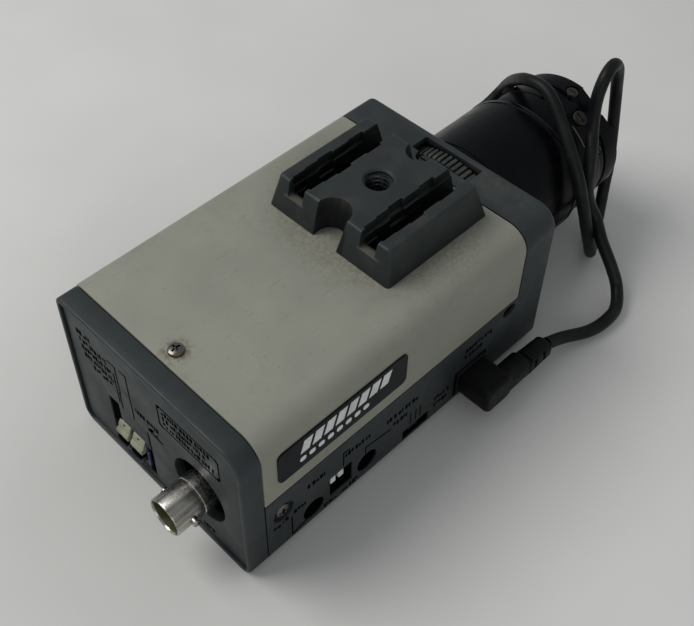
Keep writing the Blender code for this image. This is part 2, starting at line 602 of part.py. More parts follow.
def iris():
    """Two-leaf iris with its galvanometer: a coil, a magnet rotor and opposed leaves."""
    turned("aperture_plate", [(15.0, 131.0), (15.0, 130.0), (7.5, 130.0), (7.5, 131.0)],
           LOOK["lens_black"])
    turned("iris_coil", [(3.9, 121.0), (3.9, 110.0), (2.6, 110.0), (2.6, 121.0)],
           LOOK["copper"], across=(-13.2, AXIS_Z), steps=20)
    rod("iris_rotor", "y", 2.2, 109.4, 122.4, (-13.2, AXIS_Z), LOOK["steel"], 16)
    for name, start, side in (("iris_leaf_upper", 124.0, 1), ("iris_leaf_lower", 125.0, -1)):
        wide, notch = 8.0, 5.5
        outline = [(-wide, -4.5 * side), (-notch, -4.5 * side), (0, 2.0 * side), (notch, -4.5 * side),
                   (wide, -4.5 * side), (wide, 8.5 * side), (-wide, 8.5 * side)]
        outline_plate(name, [outline], start, start + 0.5, LOOK["lens_black"])


# ---------------------------------------------------------------- lead and plug


def smooth_route(route, count):
    """Even points along a smooth curve through the route (centripetal Catmull-Rom)."""
    spots = [Vector(p) for p in route]
    spots = [2 * spots[0] - spots[1], *spots, 2 * spots[-1] - spots[-2]]
    dense = []
    for a, b, c, d in zip(spots, spots[1:], spots[2:], spots[3:]):
        t1 = (b - a).length ** 0.5
        t2 = t1 + (c - b).length ** 0.5
        t3 = t2 + (d - c).length ** 0.5
        for i in range(24):
            t = t1 + (t2 - t1) * i / 24
            ab = a.lerp(b, t / t1)
            bc = b.lerp(c, (t - t1) / (t2 - t1))
            cd = c.lerp(d, (t - t2) / (t3 - t2))
            abc = ab.lerp(bc, t / t2)
            bcd = bc.lerp(cd, (t - t1) / (t3 - t1))
            dense.append(abc.lerp(bcd, (t - t1) / (t2 - t1)))
    dense.append(spots[-2])
    lengths = [0.0]
    for a, b in zip(dense, dense[1:]):
        lengths.append(lengths[-1] + (b - a).length)
    even = []
    index = 0
    for i in range(count):
        want = lengths[-1] * i / (count - 1)
        while index < len(lengths) - 2 and lengths[index + 1] < want:
            index += 1
        share = (want - lengths[index]) / (lengths[index + 1] - lengths[index])
        even.append(dense[index].lerp(dense[index + 1], share))
    return even


def lens_cable():
    curve = bpy.data.curves.new("lens_cable", "CURVE")
    curve.dimensions = "3D"
    curve.bevel_depth = CORD_DIAMETER / 2 * MM
    curve.bevel_resolution = 2
    curve.use_fill_caps = True
    spots = smooth_route(CORD_ROUTE, CORD_POINTS)
    spline = curve.splines.new("POLY")
    spline.points.add(len(spots) - 1)
    for target, spot in zip(spline.points, spots):
        target.co = (*point(*spot), 1)
    curve.materials.append(LOOK["lead"])
    made = bpy.data.objects.new("lens_cable", curve)
    PARTS.objects.link(made)


def plug():
    """Right-angle plug in the side socket, with a ribbed relief along the body."""
    body = box("plug_body", (31.2, 68.0, 3.6), (40.8, 79.0, 12.6), LOOK["lead"])
    nose = box("cutter_plug_nose", (26.9, 68.4, 4.0), (32.0, 79.1, 12.2), group=CUTTERS)
    arm = box("cutter_plug_arm", (34.6, 75.0, 4.2), (40.8, 86.2, 11.6), group=CUTTERS)
    join(body, nose, arm)
    box("plug_relief", (35.4, 86.5, 4.3), (40.6, 95.6, 9.6), LOOK["lead"])


def cable_boot():
    """Tapered sleeve on the lens outlet, on the side away from the plug."""
    rod("cable_boot", "z", 3.0, 8.3, 19.5, (-22.6, 134.5), LOOK["lead"], 16, tip=2.2)


# ---------------------------------------------------------------- build

clear_scene()
PARTS = new_collection("box_camera")
CUTTERS = new_collection("cutters")
LOOK = {
    "plastic": plain_material("slate_plastic", (0.045, 0.058, 0.062), 0.55),
    "paint": plain_material("beige_paint", (0.30, 0.30, 0.255), 0.45),
    "label": plain_material("label_dark", (0.02, 0.024, 0.03), 0.4),
    "steel": plain_material("steel", (0.55, 0.54, 0.52), 0.3, 1.0),
    "steel_dark": plain_material("dark_steel", (0.06, 0.06, 0.065), 0.4, 1.0),
    "nickel": plain_material("nickel", (0.68, 0.66, 0.62), 0.22, 1.0),
    "brass": plain_material("brass", (0.45, 0.38, 0.2), 0.35, 1.0),
    "ivory": plain_material("ivory_insulator", (0.62, 0.56, 0.42), 0.5),
    "lever": plain_material("lever_cream", (0.42, 0.41, 0.28), 0.5),
    "black": plain_material("black_plastic", (0.02, 0.02, 0.022), 0.5),
    "white": plain_material("white_plastic", (0.6, 0.6, 0.56), 0.5),
    "blue": plain_material("blue_plastic", (0.03, 0.08, 0.25), 0.45),
    "board": plain_material("circuit_board", (0.03, 0.12, 0.05), 0.5),
    "copper": plain_material("copper_wire", (0.45, 0.2, 0.08), 0.4, 1.0),
    "capacitor": plain_material("capacitor_sleeve", (0.03, 0.03, 0.05), 0.4),
    "aluminium": plain_material("aluminium", (0.55, 0.55, 0.56), 0.35, 1.0),
    "ceramic": plain_material("sensor_package", (0.05, 0.045, 0.04), 0.5),
    "glass": plain_material("lens_glass", (0.05, 0.07, 0.09), 0.05),
    "lens_black": plain_material("satin_black", (0.012, 0.013, 0.015), 0.4),
    "lead": plain_material("lead_sheath", (0.014, 0.015, 0.017), 0.55),
}

front_housing()
top_cover()
rear_panel()
label_plate()
mounting_block()
tripod_insert()
block_screws()
pan_screw("cover_screw_top", "z", BODY_TOP + 0.2, 1, (0, 9.6))
pan_screw("cover_screw_right", "x", BODY_HALF_WIDTH - 1.0, 1, (10.8, 16.3))
pan_screw("cover_screw_left", "x", BODY_LEFT + 1.0, -1, (10.8, 16.3))
video_socket()
terminals()
boards()
side_controls()
lens_mount()
sensor_stack()
lens()
iris()
cable_boot()
lens_cable()
plug()
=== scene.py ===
"""Looks of the box camera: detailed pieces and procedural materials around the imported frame.

Lengths are millimetres, with y = 0 on the rear plane of the body and z = 0 underneath,
until finish_piece() puts a mesh into the frame's metres.
"""
import json
import math
import random

import bmesh
import bpy
from mathutils import Euler, Matrix, Vector

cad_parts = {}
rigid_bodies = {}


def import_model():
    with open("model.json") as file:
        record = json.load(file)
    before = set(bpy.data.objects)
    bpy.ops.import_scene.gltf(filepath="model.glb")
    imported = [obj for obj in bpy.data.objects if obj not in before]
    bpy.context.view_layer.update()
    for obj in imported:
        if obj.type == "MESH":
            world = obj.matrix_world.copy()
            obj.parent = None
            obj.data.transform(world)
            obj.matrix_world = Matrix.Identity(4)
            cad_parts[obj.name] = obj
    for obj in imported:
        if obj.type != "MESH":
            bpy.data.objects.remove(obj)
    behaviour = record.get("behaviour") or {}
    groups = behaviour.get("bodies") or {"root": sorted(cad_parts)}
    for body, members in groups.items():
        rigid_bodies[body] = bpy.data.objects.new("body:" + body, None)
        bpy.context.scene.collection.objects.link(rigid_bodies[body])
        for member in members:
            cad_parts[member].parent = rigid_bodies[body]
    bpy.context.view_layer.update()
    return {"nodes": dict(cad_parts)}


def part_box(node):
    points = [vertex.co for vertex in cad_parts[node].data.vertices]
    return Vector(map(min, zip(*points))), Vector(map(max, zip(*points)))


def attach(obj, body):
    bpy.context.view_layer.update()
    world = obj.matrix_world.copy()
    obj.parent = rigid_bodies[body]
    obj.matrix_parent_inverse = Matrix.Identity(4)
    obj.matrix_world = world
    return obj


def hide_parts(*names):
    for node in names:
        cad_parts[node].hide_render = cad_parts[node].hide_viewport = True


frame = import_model()

MM = 0.001
ORIGIN = Vector((0.0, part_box("rear_panel")[0].y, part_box("front_housing")[0].z))
for leftover in [o for o in bpy.data.objects if o.type in {"CAMERA", "LIGHT"} or o.name == "Cube"]:
    bpy.data.objects.remove(leftover, do_unlink=True)


def at(x, y, z):
    return ORIGIN + Vector((x, y, z)) * MM


def span(node):
    """Lowest and highest corner of a CAD node in the millimetres used here."""
    low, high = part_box(node)
    return (low - ORIGIN) / MM, (high - ORIGIN) / MM


# --- camera


def make_camera():
    lens = bpy.data.cameras.new("photo_camera")
    lens.sensor_width = 36.0
    lens.lens = 55.58
    lens.shift_x = 0.0501
    lens.shift_y = -0.0755
    lens.clip_start = 0.01
    lens.clip_end = 20.0
    made = bpy.data.objects.new("photo_camera", lens)
    bpy.context.scene.collection.objects.link(made)
    turn = Euler([math.radians(angle) for angle in (43.033, 0.644, 46.182)]).to_matrix().to_4x4()
    made.matrix_world = Matrix.Translation((0.1230, -0.1357, 0.2243)) @ turn
    bpy.context.scene.camera = made


make_camera()

# --- procedural materials


LOOK = {}


class Look:
    """A node material whose texture space is the object frame in millimetres."""

    def __init__(self, name):
        LOOK[name] = self
        self.material = bpy.data.materials.new(name)
        self.material.use_nodes = True
        self.tree = self.material.node_tree
        self.shader = self.tree.nodes["Principled BSDF"]
        coords = self.tree.nodes.new("ShaderNodeTexCoord")
        scale = self.tree.nodes.new("ShaderNodeMapping")
        scale.inputs["Scale"].default_value = (1 / MM, 1 / MM, 1 / MM)
        self.tree.links.new(coords.outputs["Object"], scale.inputs["Vector"])
        self.place = scale.outputs["Vector"]

    def put(self, socket, value):
        if isinstance(value, bpy.types.NodeSocket):
            self.tree.links.new(value, socket)
        elif isinstance(value, tuple) and len(value) == 3 and len(socket.default_value) == 4:
            socket.default_value = (*value, 1.0)
        else:
            socket.default_value = value

    def set(self, **values):
        for name, value in values.items():
            self.put(self.shader.inputs[name.replace("_", " ")], value)

    def node(self, kind, inputs, **settings):
        made = self.tree.nodes.new("ShaderNode" + kind)
        for name, value in settings.items():
            setattr(made, name, value)
        for name, value in inputs.items():
            self.put(made.inputs[name], value)
        return made.outputs

    def noise(self, size, detail=3.0, stretch=None, seed=0.0):
        place = self.place
        if stretch or seed:
            shift = (seed, seed * 1.7, seed * 0.6)
            inputs = {"Vector": place, "Scale": stretch or (1, 1, 1), "Location": shift}
            place = self.node("Mapping", inputs)["Vector"]
        return self.node("TexNoise", {"Vector": place, "Scale": 1.0 / size, "Detail": detail})["Fac"]

    def fit(self, value, low, high, to_low=0.0, to_high=1.0):
        inputs = {"Value": value, "From Min": low, "From Max": high, "To Min": to_low, "To Max": to_high}
        return self.node("MapRange", inputs)["Result"]

    def product(self, first, *others):
        for other in others:
            first = self.node("Math", {0: first, 1: other}, operation="MULTIPLY")[0]
        return first

    def mix(self, share, a, b):
        return self.node("Mix", {0: share, 6: a, 7: b}, data_type="RGBA")[2]

    def edges(self, radius):
        """1 on outer and inner edges, 0 on flats."""
        bevel = self.node("Bevel", {"Radius": radius * MM}, samples=4)["Normal"]
        flat = self.node("NewGeometry", {})["Normal"]
        dot = self.node("VectorMath", {0: bevel, 1: flat}, operation="DOT_PRODUCT")["Value"]
        return self.fit(dot, 0.99, 0.86)

    def shade(self, reach):
        """0 deep inside holes and corners, 1 in the open."""
        return self.fit(self.node("AmbientOcclusion", {"Distance": reach * MM}, samples=6)["AO"], 0.12, 0.72)

    def along(self, axis, low, high):
        """Ramp from 0 to 1 along one axis of the millimetre space used here."""
        index = "xyz".index(axis)
        start = (ORIGIN / MM)[index]
        return self.fit(self.node("SeparateXYZ", {0: self.place})[index], start + low, start + high)

    def stain(self, share, colour):
        """Mix another colour over the base colour made so far."""
        socket = self.shader.inputs["Base Color"]
        self.put(socket, self.mix(share, socket.links[0].from_socket, colour))

    def distance(self, centre, squash=(1, 1, 1)):
        """Distance in mm from a spot, after scaling the axes."""
        place = self.node("VectorMath", {0: self.place, 1: tuple(at(*centre) / MM)}, operation="SUBTRACT")[0]
        place = self.node("VectorMath", {0: place, 1: squash}, operation="MULTIPLY")[0]
        return self.node("VectorMath", {0: place}, operation="LENGTH")["Value"]

    def bump(self, height, depth):
        outputs = self.node("Bump", {"Strength": 1.0, "Distance": depth * MM, "Height": height})
        self.put(self.shader.inputs["Normal"], outputs["Normal"])


def times(colour, factor):
    return tuple(channel * factor for channel in colour)


def surface(name, colour, rough, metallic=0.0, vary=0.16, patch=12.0, rough_vary=0.07, grain=0.3,
            relief=0.012, worn=None, wear=0.4, radius=0.2, dust=None, dust_share=0.3, stretch=None,
            specular=0.5, corners=0.0, streak=None):
    """Common recipe: mottled colour, fine grain, worn edges, settled dust and, with corners set, painted
    shade in holes and corners.
    """
    look = Look(name)
    blotch = look.fit(look.noise(patch, 4.0, streak), 0.32, 0.68)
    tone = look.mix(blotch, times(colour, 1 - vary), times(colour, 1 + vary))
    fine = look.noise(grain, 2.0, stretch)
    tone = look.mix(look.fit(fine, 0.4, 0.7, 0.0, 0.22), tone, times(colour, 1.5))
    rough_value = look.fit(look.noise(patch * 0.45, 3.0, seed=7.0), 0.3, 0.7, rough - rough_vary,
            rough + rough_vary)
    if worn:
        patches = look.fit(look.noise(2.4, 3.0, seed=3.0), 0.36, 0.6, 0.15, 1)
        rub = look.product(look.edges(radius), patches, wear)
        tone = look.mix(rub, tone, worn)
    if dust:
        settled = look.fit(look.noise(6.0, 5.0, seed=11.0), 0.5, 0.72)
        tone = look.mix(look.product(settled, dust_share), tone, dust)
    # painted shade: the base colour is darkened in holes and corners, reaching corners mm, by ambient
    # occlusion
    if corners:
        tone = look.mix(look.shade(corners), times(colour, 0.12), tone)
    look.set(Base_Color=tone, Roughness=rough_value, Metallic=metallic)
    look.shader.inputs["Specular IOR Level"].default_value = specular
    look.bump(fine, relief)
    return look


def paint_look():
    """Semi-gloss beige paint with orange peel, specks, smudges, a darker brown band round the foot of the
    block and rubbed edges.
    """
    colour = (0.232, 0.237, 0.197)
    look = Look("beige_paint")
    blotch = look.fit(look.noise(16.0, 4.0), 0.3, 0.7)
    tone = look.mix(blotch, times(colour, 0.93), times(colour, 1.06))
    grime = look.product(look.fit(look.noise(4.5, 6.0, seed=5.0), 0.52, 0.74),
            look.fit(look.noise(20.0, 2.0, seed=9.0), 0.4, 0.65))
    tone = look.mix(look.product(grime, 0.34), tone, (0.13, 0.125, 0.10))
    specks = look.fit(look.noise(0.55, 1.0, seed=2.0), 0.70, 0.76)
    tone = look.mix(look.product(specks, 0.45), tone, (0.10, 0.10, 0.085))
    scratch = look.fit(look.noise(0.7, 1.0, (1.0, 0.09, 0.6), 13.0), 0.735, 0.76)
    tone = look.mix(look.product(scratch, 0.3), tone, (0.12, 0.12, 0.10))
    # darker, browner grainy band round the foot of the mounting block
    near = look.fit(look.distance((0, 71, 45.7), (0.5, 0.56, 1)), 11.0, 16.0, 0.75, 0.0)
    foot_band = look.product(near, look.fit(look.noise(0.8, 6.0, seed=15.0), 0.30, 0.80))
    tone = look.mix(foot_band, tone, (0.12, 0.108, 0.08))
    rub = look.product(look.edges(0.5), look.fit(look.noise(3.0, 4.0, seed=4.0), 0.4, 0.62))
    tone = look.mix(look.product(rub, 0.3), tone, (0.36, 0.36, 0.31))
    ring = look.fit(look.distance((0, 9.6, 45.7), (1, 1, 0.2)), 2.4, 4.6, 1.0, 0.0)
    rust = look.product(ring, look.fit(look.noise(1.1, 3.0, seed=6.0), 0.38, 0.62))
    tone = look.mix(look.product(rust, 0.75), tone, (0.10, 0.075, 0.045))
    look.set(Base_Color=tone, Roughness=look.fit(look.noise(9.0, 3.0, seed=8.0), 0.3, 0.7, 0.54, 0.64))
    look.shader.inputs["Specular IOR Level"].default_value = 0.28
    look.bump(look.noise(0.9, 2.0), 0.010)
    return look


def glass_look():
    look = Look("lens_glass")
    haze = look.noise(3.0, 2.0)
    tint = look.mix(look.fit(haze, 0.3, 0.7), (0.016, 0.020, 0.045), (0.034, 0.018, 0.050))
    look.set(Base_Color=tint, Roughness=look.fit(haze, 0.3, 0.7, 0.03, 0.07), Metallic=0.0)
    look.shader.inputs["Transmission Weight"].default_value = 0.35
    look.shader.inputs["IOR"].default_value = 1.55
    look.shader.inputs["Coat Weight"].default_value = 0.6
    return look


# corners= in these materials sets the reach in mm of painted shade in holes and corners
surface("slate_plastic", (0.020, 0.0265, 0.028), 0.50, grain=0.32, relief=0.016, worn=(0.085, 0.098, 0.10),
        wear=0.45, radius=0.4, dust=(0.06, 0.06, 0.052), dust_share=0.22, specular=0.3, corners=3.0)
paint_look()
surface("label_dark", (0.0042, 0.0050, 0.0066), 0.36, vary=0.1, specular=0.12, grain=0.2, relief=0.003,
        worn=(0.09, 0.09, 0.09))
surface("steel", (0.15, 0.14, 0.125), 0.28, 1.0, vary=0.12, corners=1.2, patch=2.0, grain=0.25, relief=0.004,
        worn=(0.78, 0.76, 0.72), radius=0.15, dust=(0.16, 0.12, 0.08), dust_share=0.5)
surface("dark_steel", (0.018, 0.020, 0.023), 0.24, 0.3, vary=0.2, patch=3.0, relief=0.005,
        worn=(0.10, 0.10, 0.11), wear=0.35, radius=0.12)
surface("nickel", (0.40, 0.39, 0.355), 0.25, 1.0, vary=0.62, patch=1.5, relief=0.006, stretch=(1, 0.12, 1),
        streak=(1, 0.05, 1), worn=(0.80, 0.79, 0.75), wear=0.45, radius=0.15, dust=(0.24, 0.21, 0.15))
surface("brass", (0.021, 0.022, 0.017), 0.44, 0.35, corners=0.8, vary=0.2, patch=1.5, grain=0.25,
        relief=0.006, worn=(0.15, 0.145, 0.11), radius=0.12)
surface("ivory_insulator", (0.30, 0.27, 0.17), 0.5, patch=2.0, relief=0.005)
surface("lever_cream", (0.225, 0.232, 0.165), 0.46, corners=1.2, vary=0.12, patch=2.5, grain=0.25,
        relief=0.006, worn=(0.42, 0.41, 0.31), dust=(0.10, 0.09, 0.06), dust_share=0.5)
surface("black_plastic", (0.008, 0.009, 0.010), 0.45, patch=4.0, relief=0.008, specular=0.3,
        worn=(0.06, 0.06, 0.06))
surface("white_plastic", (0.62, 0.61, 0.56), 0.42, vary=0.06, patch=2.0, grain=0.25, relief=0.004,
        dust=(0.35, 0.32, 0.25))
surface("blue_plastic", (0.015, 0.03, 0.09), 0.45, patch=2.0, relief=0.005)
surface("circuit_board", (0.03, 0.11, 0.05), 0.45, patch=3.0, grain=0.5, relief=0.01)
surface("copper_wire", (0.45, 0.20, 0.08), 0.38, 1.0, patch=2.0, relief=0.02, stretch=(1, 1, 6))
surface("capacitor_sleeve", (0.03, 0.03, 0.05), 0.35, patch=4.0, grain=0.4)
surface("aluminium", (0.55, 0.55, 0.56), 0.34, 1.0, patch=3.0, relief=0.005, stretch=(1, 6, 1))
surface("sensor_package", (0.05, 0.045, 0.04), 0.45, patch=2.0)
glass_look()
surface("satin_black", (0.0012, 0.0014, 0.0020), 0.27, vary=0.12, patch=7.0, grain=0.22, relief=0.006,
        worn=(0.05, 0.05, 0.05), wear=0.3, dust=(0.008, 0.0078, 0.007), dust_share=0.2, specular=0.10)
surface("lead_sheath", (0.0038, 0.0043, 0.0048), 0.46, vary=0.2, patch=5.0, grain=0.35, relief=0.008,
        worn=(0.035, 0.037, 0.036), wear=0.35, radius=0.35, dust=(0.026, 0.026, 0.023),
        specular=0.18)
SLATE = LOOK["slate_plastic"]
# painted shade: the right side face of the body darkened towards the bottom
side_shade = SLATE.product(SLATE.along("z", 20.0, 9.0), SLATE.along("x", 30.4, 30.9), 0.55)
SLATE.stain(side_shade, (0.006, 0.0082, 0.0085))
smudge = SLATE.product(SLATE.fit(SLATE.distance((17, 97, 45.7), (0.7, 1.3, 1)), 3.0, 9.0, 0.6, 0.0),
        SLATE.fit(SLATE.noise(3.0, 5.0, seed=21.0), 0.4, 0.65))
SLATE.stain(smudge, (0.062, 0.054, 0.042))
INK = surface("ink_dark", (0.0022, 0.0022, 0.0026), 0.7, vary=0.25, patch=1.5, grain=0.2, relief=0.002,
        specular=0.0)
INK_LIGHT = surface("ink_light", (0.60, 0.61, 0.60), 0.45, vary=0.06, patch=2.0, grain=0.25, relief=0.002,
        dust=(0.25, 0.25, 0.24), dust_share=0.4)
# slate_block: corners=7.0 gives deep painted shade in the grooves and notches of the block
BLOCK_LOOK = surface("slate_block", (0.0165, 0.0215, 0.0215), 0.50, grain=0.32, relief=0.016,
        worn=(0.07, 0.08, 0.08), wear=0.5, radius=0.4, dust=(0.055, 0.055, 0.046), specular=0.3, corners=7.0)
for side in (-1, 1):
    inside = BLOCK_LOOK.product(BLOCK_LOOK.along("x", side * 8.4, side * 9.4),
            BLOCK_LOOK.along("x", side * 15.6, side * 14.6))
    # painted shade: groove walls and floor stained near black below the top edge, short of the rear shelf
    groove = BLOCK_LOOK.product(inside, BLOCK_LOOK.along("z", 55.1, 54.3), BLOCK_LOOK.along("y", 56.2, 57.6))
    BLOCK_LOOK.stain(groove, (0.002, 0.0024, 0.0027))
    shelf = BLOCK_LOOK.product(BLOCK_LOOK.along("z", 51.4, 51.1), BLOCK_LOOK.along("y", 57.2, 56.4),
            BLOCK_LOOK.along("z", 50.6, 50.85))
    BLOCK_LOOK.stain(BLOCK_LOOK.product(inside, shelf, 0.6), (0.11, 0.105, 0.085))
# painted shade: the rear notch stained dark below the top of the block
notch = BLOCK_LOOK.product(BLOCK_LOOK.along("x", -5.0, -4.3), BLOCK_LOOK.along("x", 5.3, 4.6),
        BLOCK_LOOK.along("y", 61.5, 60.9), BLOCK_LOOK.along("z", 55.2, 51.5), 0.8)
BLOCK_LOOK.stain(notch, (0.004, 0.0048, 0.005))
GRIP_LOOK = surface("slate_grip", (0.030, 0.034, 0.032), 0.55, relief=0.012, patch=3.0, vary=0.3,
        worn=(0.13, 0.135, 0.125), wear=0.6, radius=0.15, dust=(0.10, 0.10, 0.085), dust_share=0.5,
        specular=0.25, corners=1.2)
# painted shade: dark olive lining for the bore of the video socket, standing in for the shade inside it
OLIVE_BORE_SHADE = surface("olive_bore_shade", (0.085, 0.078, 0.042), 0.42, 0.4, vary=0.3, patch=2.0, grain=0.25,
        relief=0.004, corners=6.0)
PLUG_LOOK = surface("plug_black", (0.0026, 0.0028, 0.0032), 0.5, vary=0.2, patch=5.0, grain=0.35,
        relief=0.01, worn=(0.02, 0.02, 0.02), radius=0.3, dust=(0.014, 0.014, 0.012), specular=0.16)
TERMINAL_LOOK = surface("terminal_slate", (0.018, 0.023, 0.027), 0.5, patch=3.0, relief=0.008,
        worn=(0.05, 0.055, 0.06), specular=0.3, corners=4.0)
# painted shade: near-black material for liners and wells that stand in for the shade inside holes, slots and
# windows
PAINTED_SHADE = surface("painted_shade_black", (0.0022, 0.0024, 0.0028), 0.7, vary=0.2, patch=3.0, specular=0.0)

for node in frame["nodes"].values():
    for holder in node.material_slots:
        holder.material = LOOK[holder.material.name.split(".")[0]].material

# --- mesh helpers

AXIS_Z = 23.5
SMOOTH_ANGLE = 32


def spot(axis, level, a, b):
    return {"x": (level, a, b), "y": (a, level, b), "z": (a, b, level)}[axis]


def linked(name, work):
    mesh = bpy.data.meshes.new(name)
    work.to_mesh(mesh)
    work.free()
    made = bpy.data.objects.new(name, mesh)
    bpy.context.scene.collection.objects.link(made)
    return made


def shape(name, work):
    bmesh.ops.remove_doubles(work, verts=work.verts, dist=0.0005)
    bmesh.ops.recalc_face_normals(work, faces=work.faces)
    return linked(name, work)


def bridge(work, rings, ends=True):
    """Faces from ring to ring; the first and last rings are capped, or joined to each other."""
    for one, two in zip(rings, rings[1:] + ([] if ends else rings[:1])):
        for i in range(len(one)):
            j = (i + 1) % len(one)
            work.faces.new((one[i], one[j], two[j], two[i]))
    if ends:
        work.faces.new(rings[0])
        work.faces.new(rings[-1])


def outline(a0, a1, b0, b1, top, bottom=None, steps=8, left=None):
    """Closed rounded rectangle in two coordinates; the upper left corner may differ."""
    bottom = top if bottom is None else bottom
    left = top if left is None else left
    corners = ((a1 - top, b1 - top, top, 0), (a0 + left, b1 - left, left, 90),
               (a0 + bottom, b0 + bottom, bottom, 180), (a1 - bottom, b0 + bottom, bottom, 270))
    return [(a + r * math.cos(math.radians(start + 90 * i / steps)),
             b + r * math.sin(math.radians(start + 90 * i / steps)))
            for a, b, r, start in corners for i in range(steps + 1)]


def quarter(radius, steps):
    """(forward, inward) offsets along a quarter round."""
    turns = [math.pi / 2 * i / steps for i in range(steps + 1)]
    return [(radius * math.sin(turn), radius * (1 - math.cos(turn))) for turn in turns]


def loft(name, sections, axis="y"):
    work = bmesh.new()
    rings = [[work.verts.new(spot(axis, level, a, b)) for a, b in loop] for level, loop in sections]
    bridge(work, rings)
    return shape(name, work)


def slab(name, low, high, axis="z", corner=0.4, edge=0.25, steps=4):
    """Box with rounded corners across an axis and rounded rims at its ends."""
    index = "xyz".index(axis)
    a, b = [i for i in range(3) if i != index]
    start, end = low[index], high[index]
    corner = max(corner, edge + 0.01)

    def section(level, inset):
        return level, outline(low[a] + inset, high[a] - inset, low[b] + inset, high[b] - inset,
                corner - inset, steps=steps)

    first = [section(start + edge - ahead, inset) for ahead, inset in reversed(quarter(edge, steps))]
    last = [section(end - edge + ahead, inset) for ahead, inset in quarter(edge, steps)]
    return loft(name, first + last, axis)


def block_of(name, low, high):
    return slab(name, low, high, corner=0.012, edge=0.01, steps=1)


def turned(name, profile, centre=(0.0, AXIS_Z), axis="y", steps=96):
    """Solid turned about a line; profile holds (radius, level) and closes on itself."""
    work = bmesh.new()
    rings = []
    for i in range(steps):
        c, s = math.cos(math.tau * i / steps), math.sin(math.tau * i / steps)
        rings.append([work.verts.new(spot(axis, h, centre[0] + r * c, centre[1] + r * s))
                for r, h in profile])
    pairs = [(p, (p + 1) % len(profile)) for p in range(len(profile))]
    for one, two in zip(rings, rings[1:] + rings[:1]):
        for p, q in pairs:
            corners = []
            for vert in (one[p], two[p], two[q], one[q]):
                if all((vert.co - other.co).length > 1e-6 for other in corners):
                    corners.append(vert)
            if len(corners) > 2:
                work.faces.new(corners)
    return shape(name, work)


def pin(name, axis, radius, start, end, centre, edge=0.0, steps=40):
    """Cylinder with a small rounded rim at both ends."""
    if edge:
        profile = [(0, start), (radius - edge, start), (radius - 0.3 * edge, start + 0.3 * edge),
                   (radius, start + edge), (radius, end - edge),
                   (radius - 0.3 * edge, end - 0.3 * edge), (radius - edge, end), (0, end)]
    else:
        profile = [(0, start), (radius, start), (radius, end), (0, end)]
    return turned(name, profile, centre, axis, steps)


def swing(piece, degrees):
    """Turn a mesh about the optical axis, from +Z towards +X."""
    pivot = Matrix.Translation((0, 0, AXIS_Z))
    piece.data.transform(pivot @ Matrix.Rotation(math.radians(degrees), 4, "Y") @ pivot.inverted())
    return piece


def baked(target):
    """Apply the object's modifiers to its mesh."""
    bpy.context.view_layer.update()
    graph = bpy.context.evaluated_depsgraph_get()
    mesh = bpy.data.meshes.new_from_object(target.evaluated_get(graph))
    target.modifiers.clear()
    target.data = mesh
    return target


def carve(target, *tools, mode="DIFFERENCE"):
    for tool in tools:
        step = target.modifiers.new("step", "BOOLEAN")
        step.operation = mode
        step.solver = "EXACT"
        step.object = tool
    baked(target)
    for tool in tools:
        bpy.data.objects.remove(tool)
    return target


def soften(target, width, angle=35, segments=2):
    step = target.modifiers.new("soft", "BEVEL")
    step.width = width
    step.segments = segments
    step.limit_method = "ANGLE"
    step.angle_limit = math.radians(angle)
    return baked(target)


def finish_piece(piece, body, slot, look=None, replaces=(), smooth=SMOOTH_ANGLE):
    mesh = piece.data
    mesh.transform(Matrix.Translation(ORIGIN) @ Matrix.Scale(MM, 4))
    mesh.materials.clear()
    mesh.materials.append((look or LOOK[slot]).material)
    mesh.polygons.foreach_set("material_index", [0] * len(mesh.polygons))
    mesh.shade_smooth()
    mesh.set_sharp_from_angle(angle=math.radians(smooth))
    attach(piece, body)
    if replaces:
        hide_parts(*replaces)
    return piece


def fixed(piece, slot, *nodes, look=None, smooth=SMOOTH_ANGLE):
    return finish_piece(piece, "camera", slot, look, nodes, smooth)


# --- the lead, its boot and its plug

CORD_DIAMETER = 3.4
CORD_ROUTE = [
    (38.2, 96.2, 6.6), (39.0, 101.5, 5.0), (42.0, 111.0, 2.7), (42.8, 116.5, 2.6),
    (42.2, 122.0, 2.8), (38.6, 127.0, 4.8), (35.6, 128.0, 8.6), (29.6, 129.4, 14.8),
    (25.4, 132.0, 17.6), (22.7, 131.8, 21.4), (21.3, 130.8, 26.8), (20.3, 131.0, 33.2),
    (18.4, 133.4, 37.6), (15.9, 136.2, 41.3), (14.6, 137.4, 46.4), (14.3, 138.0, 51.4),
    (13.9, 140.4, 55.4), (13.2, 144.4, 56.4), (12.5, 148.2, 53.4), (11.5, 152.6, 42.6),
    (14.1, 152.5, 23.3), (14.9, 152.2, 17.1), (15.5, 151.3, 13.0), (21.7, 140.6, 3.4),
    (23.5, 137.0, 2.6), (25.3, 133.4, 4.0), (26.2, 131.0, 7.4), (25.9, 127.4, 16.6),
    (23.9, 125.0, 27.7), (19.7, 125.4, 36.4), (4.7, 131.0, 49.1), (0.7, 131.8, 49.9),
    (-4.2, 132.7, 48.6), (-8.6, 135.4, 44.9), (-13.1, 139.2, 39.8), (-16.7, 142.1, 34.9),
    (-19.3, 143.5, 30.5), (-21.2, 140.4, 26.3), (-22.5, 136.0, 23.8), (-22.6, 134.5, 20.7),
]


